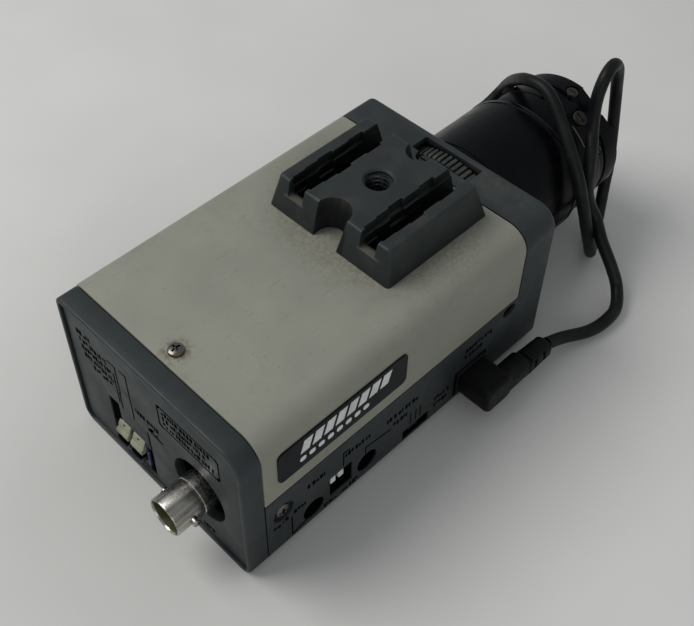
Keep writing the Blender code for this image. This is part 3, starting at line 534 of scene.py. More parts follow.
def smooth_route(route, steps=10):
    """Smooth curve through the route (centripetal Catmull-Rom), as the CAD solid follows."""
    spots = [Vector(p) for p in route]
    spots = [2 * spots[0] - spots[1], *spots, 2 * spots[-1] - spots[-2]]
    dense = []
    for a, b, c, d in zip(spots, spots[1:], spots[2:], spots[3:]):
        t1 = (b - a).length ** 0.5
        t2 = t1 + (c - b).length ** 0.5
        t3 = t2 + (d - c).length ** 0.5
        for i in range(steps):
            t = t1 + (t2 - t1) * i / steps
            ab = a.lerp(b, t / t1)
            bc = b.lerp(c, (t - t1) / (t2 - t1))
            cd = c.lerp(d, (t - t2) / (t3 - t2))
            dense.append(ab.lerp(bc, t / t2).lerp(bc.lerp(cd, (t - t1) / (t3 - t1)), (t - t1) / (t2 - t1)))
    dense.append(spots[-2])
    return dense


def make_lead():
    curve = bpy.data.curves.new("lens_lead", "CURVE")
    curve.dimensions = "3D"
    curve.bevel_depth = CORD_DIAMETER / 2 * MM
    curve.bevel_resolution = 5
    curve.use_fill_caps = True
    spline = curve.splines.new("POLY")
    spline.points.add(len(cord_line) - 1)
    for target, place in zip(spline.points, cord_line):
        target.co = (*at(*place), 1)
    spline.use_smooth = True
    curve.materials.append(LOOK["lead_sheath"].material)
    made = bpy.data.objects.new("lens_lead", curve)
    bpy.context.scene.collection.objects.link(made)
    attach(made, "camera")
    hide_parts("lens_cable")
    return made


def make_boot():
    """Tapered sleeve with four bellows on the outlet lug of the lens."""
    profile = [(0, 8.3), (2.7, 8.3), (3.0, 8.6), (3.0, 9.8)]
    level, radius = 9.8, 2.98
    for _ in range(4):
        profile += [(radius, level + 0.1), (radius - 0.45, level + 0.3), (radius - 0.45, level + 0.9),
                    (radius - 0.1, level + 1.1)]
        level += 1.7
        radius -= 0.13
    profile += [(2.45, 17.2), (2.3, 19.0), (2.1, 19.5), (0, 19.5)]
    boot = turned("lead_boot", profile, CORD_ROUTE[-1][:2], "z", 48)
    return fixed(boot, "lead_sheath", "cable_boot")


def make_plug():
    body = slab("lead_plug", (31.2, 69.0, 4.0), (40.9, 79.0, 12.0), axis="x", corner=2.3, edge=0.9, steps=6)
    nose = slab("nose", (26.9, 68.4, 4.0), (31.6, 79.1, 12.2), axis="x", corner=0.6, edge=0.2)
    arm = slab("arm", (34.5, 73.0, 4.1), (40.9, 86.2, 10.3), axis="y", corner=2.3, edge=0.7, steps=6)
    carve(body, nose, arm, mode="UNION")
    carve(body, pin("pocket", "x", 0.7, 40.2, 42, (84.0, 5.6)),
          block_of("side_line", (30, 84.9, 6.6), (35.0, 85.5, 12)))
    soften(body, 0.18, 40)
    return fixed(body, "lead_sheath", "plug_body", look=PLUG_LOOK)


def make_relief():
    relief = loft("plug_relief_sleeve", [
        (86.5, outline(35.2, 40.7, 4.1, 9.4, 1.5)), (94.9, outline(35.5, 40.6, 4.2, 9.1, 1.6)),
        (95.4, outline(35.8, 40.3, 4.5, 8.8, 1.5)), (95.6, outline(36.2, 39.9, 4.9, 8.4, 1.3))])
    cuts = []
    for y in (88.6, 92.0):
        cuts.append(block_of("slit", (38.7, y - 0.5, 4.9), (42, y + 0.5, 8.7)))
        cuts.append(block_of("slit_far", (34, y + 1.2, 4.9), (37.1, y + 2.2, 8.7)))
    cuts.append(block_of("neck", (34, 86.9, 8.7), (42, 87.5, 12)))
    carve(relief, *cuts)
    soften(relief, 0.12, 40)
    return fixed(relief, "lead_sheath", "plug_relief", look=PLUG_LOOK)


cord_line = smooth_route(CORD_ROUTE)
lead, boot, plug, relief = make_lead(), make_boot(), make_plug(), make_relief()

# --- body shells


LEFT, RIGHT, TOP, FRONT = -31.6, 31.0, 45.7, 101.7
SOCKET = (14.5, 17.3)  # x, z
LEVERS = (-13.8, -8.4)  # x
SIDE_SCREW = (10.8, 16.3)  # y, z
TRIMMERS = ((19.7, 7.2), (37.0, 8.2))  # y, z
DIP_WINDOW = ((24.8, 6.0), (32.0, 13.5))
SWITCH_WINDOW = ((49.4, 3.2), (58.7, 6.9))
WINDOWS = ((*DIP_WINDOW, 0.25), (*SWITCH_WINDOW, 0.25), ((67.8, 3.4), (79.7, 12.9), 0.4),
           ((84.7, 19.3), (89.4, 23.0), 1.7))
BUSH_Y = 71.0


def body_outline(inset, top, steps=10):
    """Section of the body, shrunk by inset."""
    return outline(LEFT + inset, RIGHT - inset, inset, top - inset, 6 - inset, 3.5 - inset, steps,
            max(2.2 - inset, 0.3))


def hollow(name, rear, front, top):
    return loft(name, [(level, outline(-29, 29, 1.8, top, 4.0, 2.0)) for level in (rear, front)])


def make_housing():
    rim = 1.5
    sections = [(5.8, body_outline(0, TOP))]
    sections += [(FRONT - rim + ahead, body_outline(inset, TOP)) for ahead, inset in quarter(rim, 6)]
    shell = loft("housing", sections)
    room = hollow("room", -5, 99.5, 43.9)
    chamfer = block_of("chamfer", (-40, -4, -4), (40, 4, 4))
    chamfer.data.transform(Matrix.Translation((0, 100.5, -3.0)) @ Matrix.Rotation(math.radians(19), 4, "X"))
    tools = [block_of("above", (-40, 0, 23.5), (40, 90.3, 60)), room,
             pin("mouth", "y", 16.8, 95, 110, (0, AXIS_Z), steps=96),
             slab("window", (-9.6, 93.6, 40), (9.0, 99.3, 50), corner=0.5, edge=0.01),
             pin("pocket", "z", 2.6, 40, 50, (-4.6, 93.4)), chamfer,
             *[pin("hole", "x", 3.2, 28, 36, place, steps=56) for place in TRIMMERS],
             *[slab("window", (28, *low), (36, *high), axis="x", corner=corner, edge=0.01)
               for low, high, corner in WINDOWS],
             pin("screw_a", "x", 3.0, 29.9, 36, SIDE_SCREW, steps=48),
             pin("screw_b", "x", 3.0, -36, -30.5, SIDE_SCREW, steps=48),
             slab("badge_recess", (-15, 34, -2), (15, 62, 0.25), corner=1.5, edge=0.05)]
    tools += [pin("foot_mark", "z", 2.4, -2, 0.15, (x, y)) for x in (-24, 24) for y in (14, 88)]
    carve(shell, *tools)
    soften(shell, 0.16, 40)
    fixed(shell, "slate_plastic", "front_housing")


def make_cover():

    def fold(inset, radius, left):
        bends = ((RIGHT - inset - radius, radius, 0), (LEFT + inset + left, left, 90))
        curve = [(x + r * math.cos(math.radians(start + 9 * i)),
                  TOP - inset - r + r * math.sin(math.radians(start + 9 * i)))
                 for x, r, start in bends for i in range(11)]
        return [(RIGHT - inset, 23.8), *curve, (LEFT + inset, 23.8)]

    outer, inner = fold(0, 6, 2.2), fold(1, 5, 1.2)[::-1]
    cover = loft("cover", [(5.8, outer + inner), (90.0, outer + inner)])
    soften(cover, 0.25, 50, 3)
    fixed(cover, "beige_paint", "top_cover")


def make_rear_panel():
    rim = 0.6
    top = 45.4
    sections = [(rim - ahead, body_outline(inset, top)) for ahead, inset in reversed(quarter(rim, 5))]
    sections.append((5.5, body_outline(0, top)))
    panel = loft("rear_face", sections)
    edge, inner = body_outline(1.2, top, 8), body_outline(1.6, top, 8)
    recess = loft("recess", [(-5, edge), (0.7, edge)])
    groove = loft("groove", [(-5, edge), (1.3, edge)])
    carve(groove, loft("island", [(-6, inner), (3, inner)]))
    back = hollow("back", 3.2, 9, 43.3)
    carve(panel, recess, groove, back, pin("socket", "y", 8.6, -5, 10, SOCKET, steps=96),
          slab("terminals", (-18.2, -5, 1.9), (-3.0, 10, 20.8), axis="y", corner=0.6, edge=0.01))
    soften(panel, 0.15, 40)
    fixed(panel, "slate_plastic", "rear_panel")


def make_label():
    plate = slab("side_badge", (31.02, 9.6, 28.9), (31.5, 48.5, 39.2), axis="x", corner=1.6, edge=0.15,
            steps=6)
    fixed(plate, "label_dark", "label_plate")
    back, face = 31.4, 31.56
    bars, *others = [slab("badge_bar", (back, y, 31.2), (face, y + 1.8, 32.7), axis="x", corner=0.6,
            edge=0.02) for y in [15.6 + 2.7 * i for i in range(8)]]
    for y in [15.8 + 3.4 * i for i in range(8)]:
        loop = [(y, 34.2), (y + 2.5, 34.2), (y + 3.7, 38.0), (y + 1.2, 38.0)]
        others.append(loft("stripe", [(back, loop), (face, loop)], axis="x"))
    carve(bars, *others, mode="UNION")
    fixed(bars, "white_plastic", look=INK_LIGHT)


# --- printed legends


def strokes(name, bars, axis, level, outward):
    """Flat ink marks, 0.03 mm proud of a face; bars hold (a0, a1, b0, b1)."""
    work = bmesh.new()
    ends = (level - outward * 0.05, level + outward * 0.03)
    for a0, a1, b0, b1 in bars:
        corners = [[work.verts.new(spot(axis, h, a, b)) for a, b in ((a0, b0), (a1, b0), (a1, b1), (a0, b1))]
                   for h in ends]
        bridge(work, corners)
    bmesh.ops.recalc_face_normals(work, faces=work.faces)
    fixed(linked(name, work), "label_dark", look=INK)


def row_of_marks(start, end, level, height, seed):
    """Short dashes of uneven length, a stand-in for a printed word."""
    dice = random.Random(seed)
    bars = []
    here = start
    while here < end - 0.4:
        wide = min(dice.uniform(0.4, 0.95), end - here)
        tall = height * dice.choice((0.6, 1.0, 1.0, 0.8))
        low = level + dice.choice((0.0, height - tall))
        bars.append((here, here + wide, low, low + tall))
        here += wide + dice.choice((0.26, 0.3, 0.34, 0.7))
    return bars


def slanted(a0, b0, a1, b1, width=0.3, steps=8):
    """A thin slanting line as a chain of small bars."""
    bars = []
    for i in range(steps):
        p, q = i / steps, (i + 1) / steps
        x0, x1 = a0 + (a1 - a0) * p, a0 + (a1 - a0) * q
        z0, z1 = b0 + (b1 - b0) * p, b0 + (b1 - b0) * q
        bars.append((min(x0, x1) - width / 2, max(x0, x1) + width / 2, min(z0, z1) - width / 2,
                max(z0, z1) + width / 2))
    return bars


def legend(name, axis, level, outward, words, slants, bars):
    """Ink on one face: rows of marks, slanting lines and straight bars."""
    for row in words:
        bars += row_of_marks(*row)
    for line in slants:
        bars += slanted(*line)
    strokes(name, bars, axis, level, outward)


def make_legends():
    legend("rear_legend", "y", 0.7, -1, (
        (-26.2, -20.6, 36.9, 1.7, 20), (-25.6, -15.2, 34.3, 1.7, 21), (-25.4, -13.6, 31.8, 1.7, 22),
        (-24.9, -13.8, 29.3, 1.6, 23), (-22.0, -14.4, 26.9, 1.6, 24), (-6.9, 1.6, 25.2, 1.6, 31),
        (14.4, 18.4, 2.6, 1.7, 32), (4.4, 20.8, 35.8, 1.5, 40), (4.4, 18.6, 33.7, 1.5, 41),
        (4.4, 21.4, 31.6, 1.5, 42)), (
        (-2.4, 22.9, 2.4, 22.2, 0.5), (-2.4, 22.9, -0.6, 24.2, 0.5), (2.9, 37.3, 3.9, 38.1, 0.4, 4),
        (22.1, 38.1, 23.1, 37.3, 0.4, 4), (2.9, 31.3, 3.9, 30.5, 0.4, 4), (22.1, 30.5, 23.1, 31.3, 0.4, 4)), [
        (-15.0, -12.0, 36.5, 36.9), (-12.3, -11.9, 27.0, 36.9), (-12.6, -12.2, 21.0, 27.0),
        (-13.4, -13.0, 22.5, 33.5), (-8.4, -8.0, 20.8, 37.2), (-10.4, -8.0, 36.9, 37.3),
        (0.2, 0.9, 23.0, 23.6), (3.8, 22.2, 37.8, 38.25), (3.8, 22.2, 30.4, 30.8), (2.8, 3.2, 31.2, 37.4),
        (22.8, 23.2, 31.2, 37.4)])
    legend("side_legend", "x", RIGHT, 1, ((43.4, 54.8, 16.2, 1.5, 51), (45.6, 50.4, 13.0, 1.4, 52),
            (18.0, 23.4, 17.2, 1.5, 53), (13.7, 17.9, 11.9, 1.4, 54), (29.8, 37.8, 17.2, 1.5, 55),
            (7.6, 9.7, 11.3, 1.3, 56), (10.3, 12.3, 11.8, 1.3, 57), (22.9, 27.4, 3.6, 1.2, 58),
            (28.8, 34.0, 3.6, 1.4, 59), (60.5, 66.0, 9.0, 1.4, 60), (60.5, 65.2, 6.4, 1.4, 61),
            (71.0, 81.0, 18.2, 1.4, 62), (71.0, 78.0, 15.9, 1.4, 63)), ((29.1, 19.6, 31.0, 19.3, 0.35, 5),
            (36.4, 14.2, 44.8, 12.9, 0.32, 14), (13.1, 3.8, 17.6, 5.0, 0.35, 8)),
            [(29.0, 29.35, 14.4, 19.6), (36.2, 36.55, 11.8, 14.2), (12.85, 13.2, 3.7, 11.4),
            (51.83, 52.17, 8.0, 12.3), (53.63, 53.97, 8.0, 12.3), (55.23, 55.57, 8.0, 12.3)])


# --- mounting block


def groove_cutter(side):
    """Groove whose upper walls step in and out along their length."""
    sections = []
    stations = ((48.0, 0.1, 0.2), (57.2, 0.1, 0.2), (57.3, 0.5, 0.9), (61.4, 0.5, 0.9), (61.5, 0.2, 1.3),
                (65.6, 0.2, 1.3), (65.7, 0.8, 1.8), (70.3, 0.8, 1.8), (70.4, 0.3, 0.9), (75.6, 0.3, 0.9),
                (75.7, 0.1, 1.4), (80.6, 0.1, 1.4), (80.7, 0.1, 0.4), (95.0, 0.1, 0.4))
    for y, low, high in stations:
        floor, step = (50.9, 51.3) if y < 57.25 else (47.1, 49.8)
        ledges = [(floor, 0.0), (step, 0.0), (step + 0.3, low), (52.4, low), (52.7, high), (60.0, high + 0.6)]
        outer = [(side * 14.0 + side * 0.55 * out, z) for z, out in ledges]
        inner = [(side * 9.3 - side * 0.75 * out, z) for z, out in ledges]
        sections.append((y, outer + inner[::-1]))
    return loft("groove_%d" % side, sections)


def rear_notch():
    """Half-round notch in the rear end; its right wall leans inward."""
    sections = []
    for z, right in ((44.0, 2.9), (60.0, 5.4)):
        middle, radius = (right - 4.5) / 2, (right + 4.5) / 2
        arc = [(middle + radius * math.cos(math.pi * i / 32), 56.0 + radius * math.sin(math.pi * i / 32))
               for i in range(33)]
        sections.append((z, [(right, 50.0), *arc, (-4.5, 50.0)]))
    return loft("rear_notch", sections, axis="z")


def make_block():
    low, high, rim = 45.8, 55.3, 0.7
    sections = [(low, outline(-19.6, 19.6, 54.0, 88.2, 1.2))]

    def at_height(z, inset):
        share = (z - low) / (high - low)
        half = 19.6 - 1.8 * share
        return z, outline(-half + inset, half - inset, 54.0 + 2.0 * share + inset,
                88.2 - 2.7 * share - inset, 1.2 - 0.8 * inset)

    sections += [at_height(high - rim + ahead, inset) for ahead, inset in quarter(rim, 5)]
    block = loft("mount_block", sections, axis="z")
    tools = [groove_cutter(-1), groove_cutter(1), rear_notch(),
             pin("front_notch", "z", 3.8, 44, 60, (0.2, 85.5), steps=64),
             block_of("front_slot", (-3.6, 85.5, 44), (4.0, 95, 60)),
             pin("insert_hole", "z", 3.9, 44, 54.3, (0, BUSH_Y), steps=64)]
    countersink = turned("countersink", [(0, 54.2), (3.45, 54.2), (3.45, 54.8), (4.0, 55.35), (4.0, 57),
            (0, 57)], (0, BUSH_Y), "z", 64)
    carve(block, *tools, countersink)
    soften(block, 0.3, 38, 3)
    fixed(block, "slate_plastic", "mounting_block", look=BLOCK_LOOK)


def make_insert():
    """Bush with a real quarter-inch thread, cut as a helix."""
    pitch, steps, rows_per_turn = 1.27, 48, 8
    low, high = 43.2, 54.1
    work = bmesh.new()
    levels = int((high - low) / pitch * rows_per_turn)

    def ring(z, radius_at):
        turns = [i / steps for i in range(steps)]
        return [work.verts.new((radius_at(turn) * math.cos(math.tau * turn),
                BUSH_Y + radius_at(turn) * math.sin(math.tau * turn), z)) for turn in turns]

    grid = []
    for row in range(levels + 1):
        z = low + (high - low) * row / levels
        grid.append(ring(z, lambda turn: 2.75 + 0.5 * abs(2 * (((z - low) / pitch - turn) % 1.0) - 1)))
    for radius, z in ((3.3, high + 0.05), (3.6, high + 0.05), (3.6, low), (3.55, low - 0.2)):
        grid.append(ring(z, lambda turn: radius))
    bridge(work, grid)
    insert = shape("threaded_insert", work)
    fixed(insert, "dark_steel", "tripod_insert", smooth=50)


def pan_screw(side, axis, base, outward, centre):
    """Domed screw head with a cross recess."""
    radius = 1.9
    dome = [(0, base - outward * 0.1), (radius, base - outward * 0.1), (radius, base + outward * 0.35),
            (radius * 0.93, base + outward * 0.62), (radius * 0.72, base + outward * 0.84),
            (radius * 0.4, base + outward * 0.95), (0, base + outward * 0.98)]
    head = turned("screw_" + side, dome, centre, axis, 48)
    tools = []
    for wide, tall in ((0.62 * radius, 0.15 * radius), (0.15 * radius, 0.62 * radius)):
        a, b = centre
        ends = sorted((base + outward * 0.3, base + outward * 2))
        corners = [spot(axis, ends[0], a - wide, b - tall), spot(axis, ends[1], a + wide, b + tall)]
        tools.append(block_of("recess", *corners))
    tools.append(pin("centre", axis, 0.26 * radius, *sorted((base + outward * 0.2, base + outward * 2)),
            centre))
    carve(head, *tools)
    soften(head, 0.06, 40)
    fixed(head, "steel", "cover_screw_" + side)


# --- rear connectors


def make_socket():
    tip = -9.2
    profile = [(0, 14.8), (4.8, 15.0), (4.8, 6.4), (6.2, 6.4), (6.4, 6.2), (6.4, 4.8), (6.2, 4.6), (5.0, 4.6),
               (4.95, 3.4), (4.7, 3.2), (4.7, 2.6), (4.85, 2.4), (4.85, -1.2), (4.7, -1.4), (4.7, -1.9),
               (4.85, -2.1), (4.85, tip + 0.3), (4.78, tip + 0.08), (4.7, tip), (4.58, tip),
               (4.48, tip + 0.12), (4.42, tip + 0.5), (4.42, 2.0), (0, 2.0)]
    shell = turned("video_shell", profile, SOCKET, "y", 96)
    lugs = [pin("lug", "x", 0.95, *ends, (-4.9, SOCKET[1]), edge=0.15)
            for ends in ((18.8, 20.65), (8.9, 10.2))]
    carve(shell, *lugs, mode="UNION")
    fixed(shell, "nickel", "bnc_shell")
    # painted shade: dark olive sleeve over the nickel bore of the socket
    liner = turned("socket_liner", [(4.4, 1.9), (4.4, tip + 0.45), (4.25, tip + 0.6), (4.2, 1.9)], SOCKET,
            "y", 72)
    fixed(liner, "nickel", look=OLIVE_BORE_SHADE)
    insulator = turned("video_insulator", [(3.75, 1.6), (3.75, -2.3), (3.5, -2.6), (2.75, -2.6), (2.6, -2.8),
            (2.6, -4.8), (2.4, -5.1), (1.3, -5.1), (1.1, -4.8), (1.1, 1.6)], SOCKET, "y", 64)
    fixed(insulator, "ivory_insulator", "bnc_insulator")
    contact = turned("video_contact", [(0.75, 1.5), (0.75, -5.1), (0.65, -5.25), (0.5, -5.25), (0.45, -5.1),
            (0.45, -2.0), (0, -2.0), (0, 1.5)], SOCKET, "y", 40)
    fixed(contact, "brass", "bnc_contact")
    # painted shade: a black ring inside the panel behind the socket
    well = turned("socket_well", [(9.3, 3.25), (9.3, 9.4), (5.3, 9.4), (5.3, 8.8), (8.55, 8.8),
            (8.55, 3.25)], SOCKET, "y", 72)
    fixed(well, "black_plastic", look=PAINTED_SHADE)


def make_terminals():
    body = slab("terminal_body", (-15.0, 1.0, 2.3), (-4.2, 9.6, 20.3), axis="y", corner=0.4, edge=0.2)
    carve(body, slab("foot", (-17.6, 1.0, 2.3), (-14.0, 9.6, 10.6), axis="y", corner=0.4, edge=0.2),
            mode="UNION")
    tools = [block_of("side_gap", (-5.6, -1, 1), (-3.0, 7, 12.2))]
    for x in LEVERS:
        tools.append(slab("lever_slot", (x - 2.4, -1, 5.9), (x + 2.4, 8.9, 12.4), axis="y", corner=0.3,
                edge=0.01))
        tools.append(slab("lever_throat", (x - 2.4, -1, 11.0), (x + 2.4, 3.2, 13.7), axis="y", corner=0.3,
                edge=0.01))
        tools.append(turned("wire_way", [(0, -1), (2.7, -1), (2.7, 3.4), (1.4, 4.4), (1.4, 8), (0, 8)],
                (x - 0.4, 6.9), "y", 36))
    carve(body, *tools)
    soften(body, 0.12, 40)
    fixed(body, "black_plastic", "terminal_block", look=TERMINAL_LOOK)
    # painted shade: black blocks in the gaps beside the terminal block
    for name, low, high in (("well_left", (-18.1, 1.05, 10.9), (-15.3, 5, 20.7)),
            ("well_right", (-5.3, 1.3, 2.0), (-3.1, 6, 12.0))):
        fixed(slab(name, low, high, axis="y", corner=0.3, edge=0.1), "black_plastic", look=PAINTED_SHADE)
    # painted shade: a black disc in each wire entry, inside a grey rim
    for x in (-14.2, -8.8):
        rim = turned("wire_rim", [(2.1, -0.5), (2.45, -0.5), (2.55, -0.4), (2.55, 1.2), (2.1, 1.2)],
                (x, 7.2), "y", 40)
        well = turned("wire_well", [(0, -0.1), (2.08, -0.1), (2.08, 1.2), (0, 1.2)], (x, 7.2), "y", 40)
        for piece, look in ((rim, TERMINAL_LOOK), (well, PAINTED_SHADE)):
            carve(piece, block_of("trim", (x - 3, -2, 7.15), (x + 3, 3, 12)))
            fixed(piece, "black_plastic", look=look)
    sliver = slab("terminal_sliver", (-5.6, 0.6, 5.0), (-4.9, 1.25, 10.2), axis="y", corner=0.2, edge=0.1)
    fixed(sliver, "blue_plastic")
    side_of_lever = [(8.4, 8.9), (-0.2, 9.1), (-0.5, 9.3), (-0.6, 10.3), (-0.35, 10.8), (0.1, 11.1),
            (0.9, 13.0), (1.3, 13.3), (2.4, 13.3), (2.5, 11.2), (8.4, 11.2)]
    for number, x in enumerate(LEVERS, 1):
        lever = loft("wire_lever_%d" % number, [(x - 2.1, side_of_lever), (x + 2.1, side_of_lever)], axis="x")
        tools = [block_of("rib", (x - 3, -2, z - 0.14), (x + 3, -0.25, z + 0.14)) for z in (9.55, 10.15)]
        tools.append(block_of("nick", (x - 0.5, -1, 11.9), (x + 0.3, 0.85, 12.7)))
        tools.append(block_of("lip", (x - 3, -1, 11.2), (x + 3, 0.28, 11.45)))
        carve(lever, *tools)
        soften(lever, 0.12, 30)
        finish_piece(lever, "lever_%d" % number, "lever_cream", replaces=("terminal_lever_%d" % number,))


# --- side controls


def make_trimmer(name, y, z):
    node = name + "_trimmer_rotor"
    low, high = span(node)
    rotor = turned(name + "_dial", [(0, low.x), (2.4, low.x), (2.4, high.x - 0.3), (2.2, high.x - 0.05),
            (1.6, high.x), (0, high.x)], (y, z), "x", 48)
    carve(rotor, block_of("cross_a", (high.x - 0.7, y - 1.8, z - 0.32), (high.x + 1, y + 1.8, z + 0.32)),
          block_of("cross_b", (high.x - 0.7, y - 0.32, z - 1.2), (high.x + 1, y + 0.32, z + 1.2)))
    soften(rotor, 0.06, 40)
    finish_piece(rotor, name + "_trim", "white_plastic", replaces=(node,))


def window_liner(name, low, high):
    """Thin black sleeve around the inside of a window in the right wall, as painted shade."""
    sleeve = slab(name, (28.2, low[0] + 0.05, low[1] + 0.05), (30.7, high[0] - 0.05, high[1] - 0.05),
            axis="x", corner=0.25, edge=0.02)
    carve(sleeve, block_of("clear", (20, low[0] + 0.2, low[1] + 0.2), (40, high[0] - 0.2, high[1] - 0.2)))
    fixed(sleeve, "black_plastic", look=PAINTED_SHADE)


def make_side_controls():
    # painted shade: black sleeves inside the trimmer holes, a black plate behind the hook slot and black
    # sleeves in the windows
    for number, place in enumerate(TRIMMERS, 1):
        sleeve = turned("hole_liner_%d" % number, [(3.15, 28.2), (3.15, 30.7), (3.0, 30.75), (2.95, 28.2)],
                place, "x", 56)
        fixed(sleeve, "black_plastic", look=PAINTED_SHADE)
    plate = slab("hook_liner", (28.4, 84.8, 19.4), (30.1, 89.3, 22.9), axis="x", corner=1.6, edge=0.02)
    fixed(plate, "black_plastic", look=PAINTED_SHADE)
    window_liner("dip_liner", *DIP_WINDOW)
    window_liner("slot_liner", *SWITCH_WINDOW)
    for name, place in zip(("shutter", "phase"), TRIMMERS):
        make_trimmer(name, *place)
    for number in (1, 2):
        low, high = span("dip_slider_%d" % number)
        slider = slab("dip_tab_%d" % number, low, high, axis="x", corner=0.25, edge=0.18)
        finish_piece(slider, "dip_%d" % number, "white_plastic", replaces=("dip_slider_%d" % number,))
    low, high = span("slide_switch_knob")
    knob = slab("slide_knob_cap", low, high, axis="x", corner=0.3, edge=0.15)
    middle = (low.y + high.y) / 2
    carve(knob, *[block_of("rib", (high.x - 0.35, middle - 0.9 + 0.6 * i - 0.12, low.z - 1),
            (high.x + 1, middle - 0.9 + 0.6 * i + 0.12, high.z + 1)) for i in range(4)])
    finish_piece(knob, "slide_knob", "black_plastic", replaces=("slide_switch_knob",))


# --- lens mount and lens


def make_mount():
    low, high = span("back_focus_ring")
    teeth, inner, outer = 84, 16.3, 21.4
    work = bmesh.new()
    rings = []
    for level, drop in ((low.y, 0.35), (low.y + 0.35, 0.0), (high.y - 0.35, 0.0), (high.y, 0.35)):
        ring = []
        for i in range(teeth):
            for share, depth in ((0.0, 0.7), (0.08, 0.08), (0.14, 0.0), (0.62, 0.0), (0.68, 0.08),
                    (0.76, 0.7)):
                angle = math.tau * (i + share) / teeth
                radius = outer - depth - drop
                ring.append(work.verts.new((radius * math.cos(angle), level,
                        AXIS_Z + radius * math.sin(angle))))
        rings.append(ring)
    count = len(rings[0])
    for level in (high.y, low.y):
        rings.append([work.verts.new((inner * math.cos(math.tau * i / count), level,
                AXIS_Z + inner * math.sin(math.tau * i / count))) for i in range(count)])
    bridge(work, rings, ends=False)
    ring = shape("knurled_ring", work)
    finish_piece(ring, "back_focus", "slate_plastic", GRIP_LOOK, replaces=("back_focus_ring",))
    low, high = span("focus_lock_screw")
    x, y = (low.x + high.x) / 2, (low.y + high.y) / 2
    radius = (high.x - low.x) / 2
    screw = pin("ring_set_screw", "z", radius, low.z, high.z, (x, y), edge=0.3)
    carve(screw, block_of("slot", (x - 1.5, y - 0.3, high.z - 0.7), (x + 1.5, y + 0.3, high.z + 1)))
    soften(screw, 0.08, 40)
    fixed(screw, "steel", "focus_lock_screw", look=LOOK["dark_steel"])


def radial_tool(name, angle, y, radius, foot, top):
    return swing(pin(name, "z", radius, AXIS_Z + foot, AXIS_Z + top, (0, y), steps=40), angle)


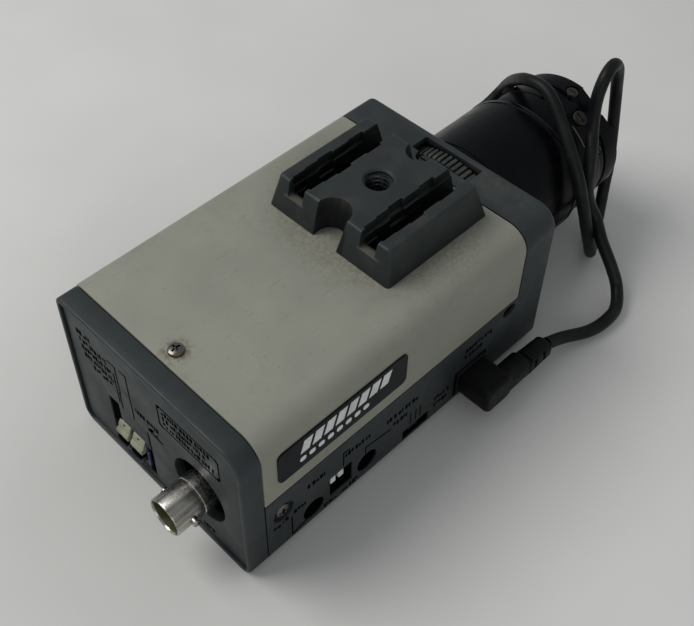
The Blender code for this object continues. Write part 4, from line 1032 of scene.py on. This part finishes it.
def make_lens():
    barrel = turned("barrel", [(19.5, 128.8), (19.9, 128.7), (20.1, 128.3), (20.1, 127.3), (19.85, 127.1),
            (19.85, 126.6), (20.1, 126.4), (20.1, 104.4), (19.8, 104.2), (19.8, 103.7), (20.1, 103.5),
            (20.1, 102.9), (19.9, 102.5), (19.5, 102.3), (12.6, 102.3), (12.5, 102.2), (12.5, 95.5),
            (10.6, 95.5), (10.6, 105.0), (17.6, 105.0), (17.6, 128.8)], steps=128)
    fixed(barrel, "satin_black", "lens_barrel")
    drum = turned("iris_drum", [(17.8, 143.2), (18.1, 142.9), (18.1, 140.3), (18.3, 140.05), (18.9, 140.0),
            (19.1, 139.85), (19.2, 139.5), (19.2, 136.0), (19.05, 135.8), (19.05, 135.5), (19.2, 135.3),
            (19.2, 129.6), (19.1, 129.25), (18.8, 129.1), (15.4, 129.1), (15.4, 138.0), (14.9, 138.0),
            (14.9, 143.2)], steps=128)
    outlet = slab("outlet", (-26.0, 131.7, 3.5), (-10.0, 137.3, 8.0), axis="x", corner=1.2, edge=0.8)
    carve(drum, outlet, mode="UNION")
    tools = [swing(block_of("cable_flat", (-7.2, 128, AXIS_Z + 18.0), (7.2, 140, AXIS_Z + 30)), -56)]
    for angle in (10, 31, 43):
        tools.append(swing(block_of("flat", (-4.6, 135.4, AXIS_Z + 17.3), (4.6, 150, AXIS_Z + 30)), angle))
    tools.append(radial_tool("well_a", 31, 140.7, 2.15, 16.4, 30))
    tools.append(radial_tool("well_b", 64, 141.6, 1.35, 16.4, 30))
    carve(drum, *tools)
    soften(drum, 0.12, 40)
    fixed(drum, "satin_black", "iris_housing")
    ring = turned("focus_grip", [(17.6, 149.2), (18.1, 149.05), (18.4, 148.7), (18.4, 144.0), (18.3, 143.65),
            (18.0, 143.5), (15.0, 143.5), (15.0, 147.2), (15.4, 147.4), (15.4, 147.8), (15.8, 148.0),
            (15.8, 148.4), (16.4, 148.7), (16.6, 149.2)], steps=160)
    tools = [swing(block_of("grip", (-6.6, 140, AXIS_Z + 16.4), (6.6, 155, AXIS_Z + 30)), angle)
             for angle in (33, 153, 273)]
    tools.append(radial_tool("well_c", 8, 145.4, 1.95, 16.6, 30))
    carve(ring, *tools)
    soften(ring, 0.4, 30, 3)
    finish_piece(ring, "lens_focus", "satin_black", replaces=("focus_ring",))
    for name, body, node, angle, y, radius in (
            ("level_screw", "level_trim", "lens_level_trimmer", 31, 140.7, 2.05),
            ("peak_screw", "peak_trim", "lens_peak_trimmer", 64, 141.6, 1.1),
            ("lock_screw", "lens_focus", "ring_lock_screw", 8, 145.4, 1.7)):
        top = AXIS_Z + (18.2 if node == "ring_lock_screw" else 18.1)
        rotor = turned(name, [(0, AXIS_Z + 16.9), (radius, AXIS_Z + 16.9), (radius, top - 0.3),
                (radius * 0.93, top - 0.08), (radius * 0.8, top), (0, top)], (0, y), "z", 40)
        carve(rotor, block_of("slot", (-0.7 * radius, y - 0.22, top - 0.5),
                (0.7 * radius, y + 0.22, top + 1)))
        if node == "lens_level_trimmer":
            for reach in (1.0, 1.55):
                carve(rotor, turned("circle", [(reach, top - 0.22), (reach + 0.2, top - 0.22),
                        (reach + 0.2, top + 1), (reach, top + 1)], (0, y), "z", 40))
        soften(rotor, 0.05, 40)
        swing(rotor, angle)
        finish_piece(rotor, body, "brass", replaces=(node,))
    # painted highlight: a short arc of bright steel on the edge of the drum, where light catches it
    edge = turned("bright_edge", [(19.05, 135.18), (19.32, 135.18), (19.32, 135.44), (19.05, 135.44)],
            steps=180)
    carve(edge, swing(block_of("keep_a", (-30, 130, AXIS_Z - 30), (0, 140, AXIS_Z + 30)), 33),
          swing(block_of("keep_b", (0, 130, AXIS_Z - 30), (30, 140, AXIS_Z + 30)), 52))
    fixed(edge, "steel")
    cell = turned("front_cell", [(14.6, 148.2), (14.3, 148.6), (14.0, 148.6), (13.8, 148.3), (13.8, 147.7),
            (13.5, 147.5), (13.5, 146.9), (13.2, 146.7), (13.2, 146.0), (12.9, 145.8), (12.9, 142.8),
            (12.3, 142.6), (12.3, 140.6), (14.6, 140.6)], steps=128)
    finish_piece(cell, "front_group", "satin_black", replaces=("front_lens_cell",))
    front = [(0, 147.6)]
    front += [(12.6 * i / 12, 147.6 - 2.2 * (i / 12) ** 2) for i in range(1, 13)]
    front += [(12.6, 143.4)]
    front += [(12.6 * i / 6, 142.9 + 0.5 * (i / 6) ** 2) for i in range(5, -1, -1)]
    glass = turned("front_glass", front, steps=96)
    finish_piece(glass, "front_group", "lens_glass", replaces=("front_lens",))


# --- build

make_housing()
make_cover()
make_rear_panel()
make_label()
make_legends()
make_block()
make_insert()
pan_screw("top", "z", 45.8, 1, (0, 9.6))
pan_screw("right", "x", 30.0, 1, SIDE_SCREW)
pan_screw("left", "x", -30.6, -1, SIDE_SCREW)
make_socket()
make_terminals()
make_side_controls()
make_mount()
make_lens()

# --- stage and light


def make_stage():
    work = bmesh.new()
    bmesh.ops.create_grid(work, x_segments=1, y_segments=1, size=3.0)
    floor = linked("floor", work)
    floor.location = (0, 0, ORIGIN.z - 0.0001)
    look = Look("floor_paper")
    soft = look.noise(60.0, 3.0)
    paper = look.mix(look.fit(soft, 0.3, 0.7), (0.60, 0.60, 0.58), (0.64, 0.64, 0.62))
    # painted shade: the floor darker near the camera body
    near = look.fit(look.distance((0, 40, 0), (1, 0.7, 1)), 50.0, 95.0, 0.35, 0.0)
    look.set(Base_Color=look.mix(near, paper, (0.40, 0.40, 0.385)), Roughness=0.8)
    look.bump(look.noise(1.5, 3.0), 0.01)
    floor.data.materials.append(look.material)


def add_light(name, place, target, size, watts, colour):
    lamp = bpy.data.lights.new(name, "AREA")
    lamp.shape = "DISK"
    lamp.size = size
    lamp.energy = watts
    lamp.color = colour
    made = bpy.data.objects.new(name, lamp)
    bpy.context.scene.collection.objects.link(made)
    made.location = place
    made.rotation_euler = (Vector(target) - Vector(place)).to_track_quat("-Z", "Y").to_euler()


def make_light():
    world = bpy.data.worlds.new("studio")
    world.use_nodes = True
    sky = world.node_tree.nodes["Background"]
    sky.inputs["Color"].default_value = (0.93, 0.96, 1.0, 1.0)
    sky.inputs["Strength"].default_value = 0.40
    bpy.context.scene.world = world
    add_light("key", (-0.50, -0.42, 0.85), (0.0, 0.0, 0.0), 0.70, 7.0, (1.0, 0.985, 0.96))
    add_light("fill", (0.70, -0.45, 0.30), (0.0, 0.0, 0.03), 0.60, 0.9, (1.0, 0.99, 0.97))
    bpy.context.scene.view_settings.view_transform = "Standard"


make_stage()
make_light()
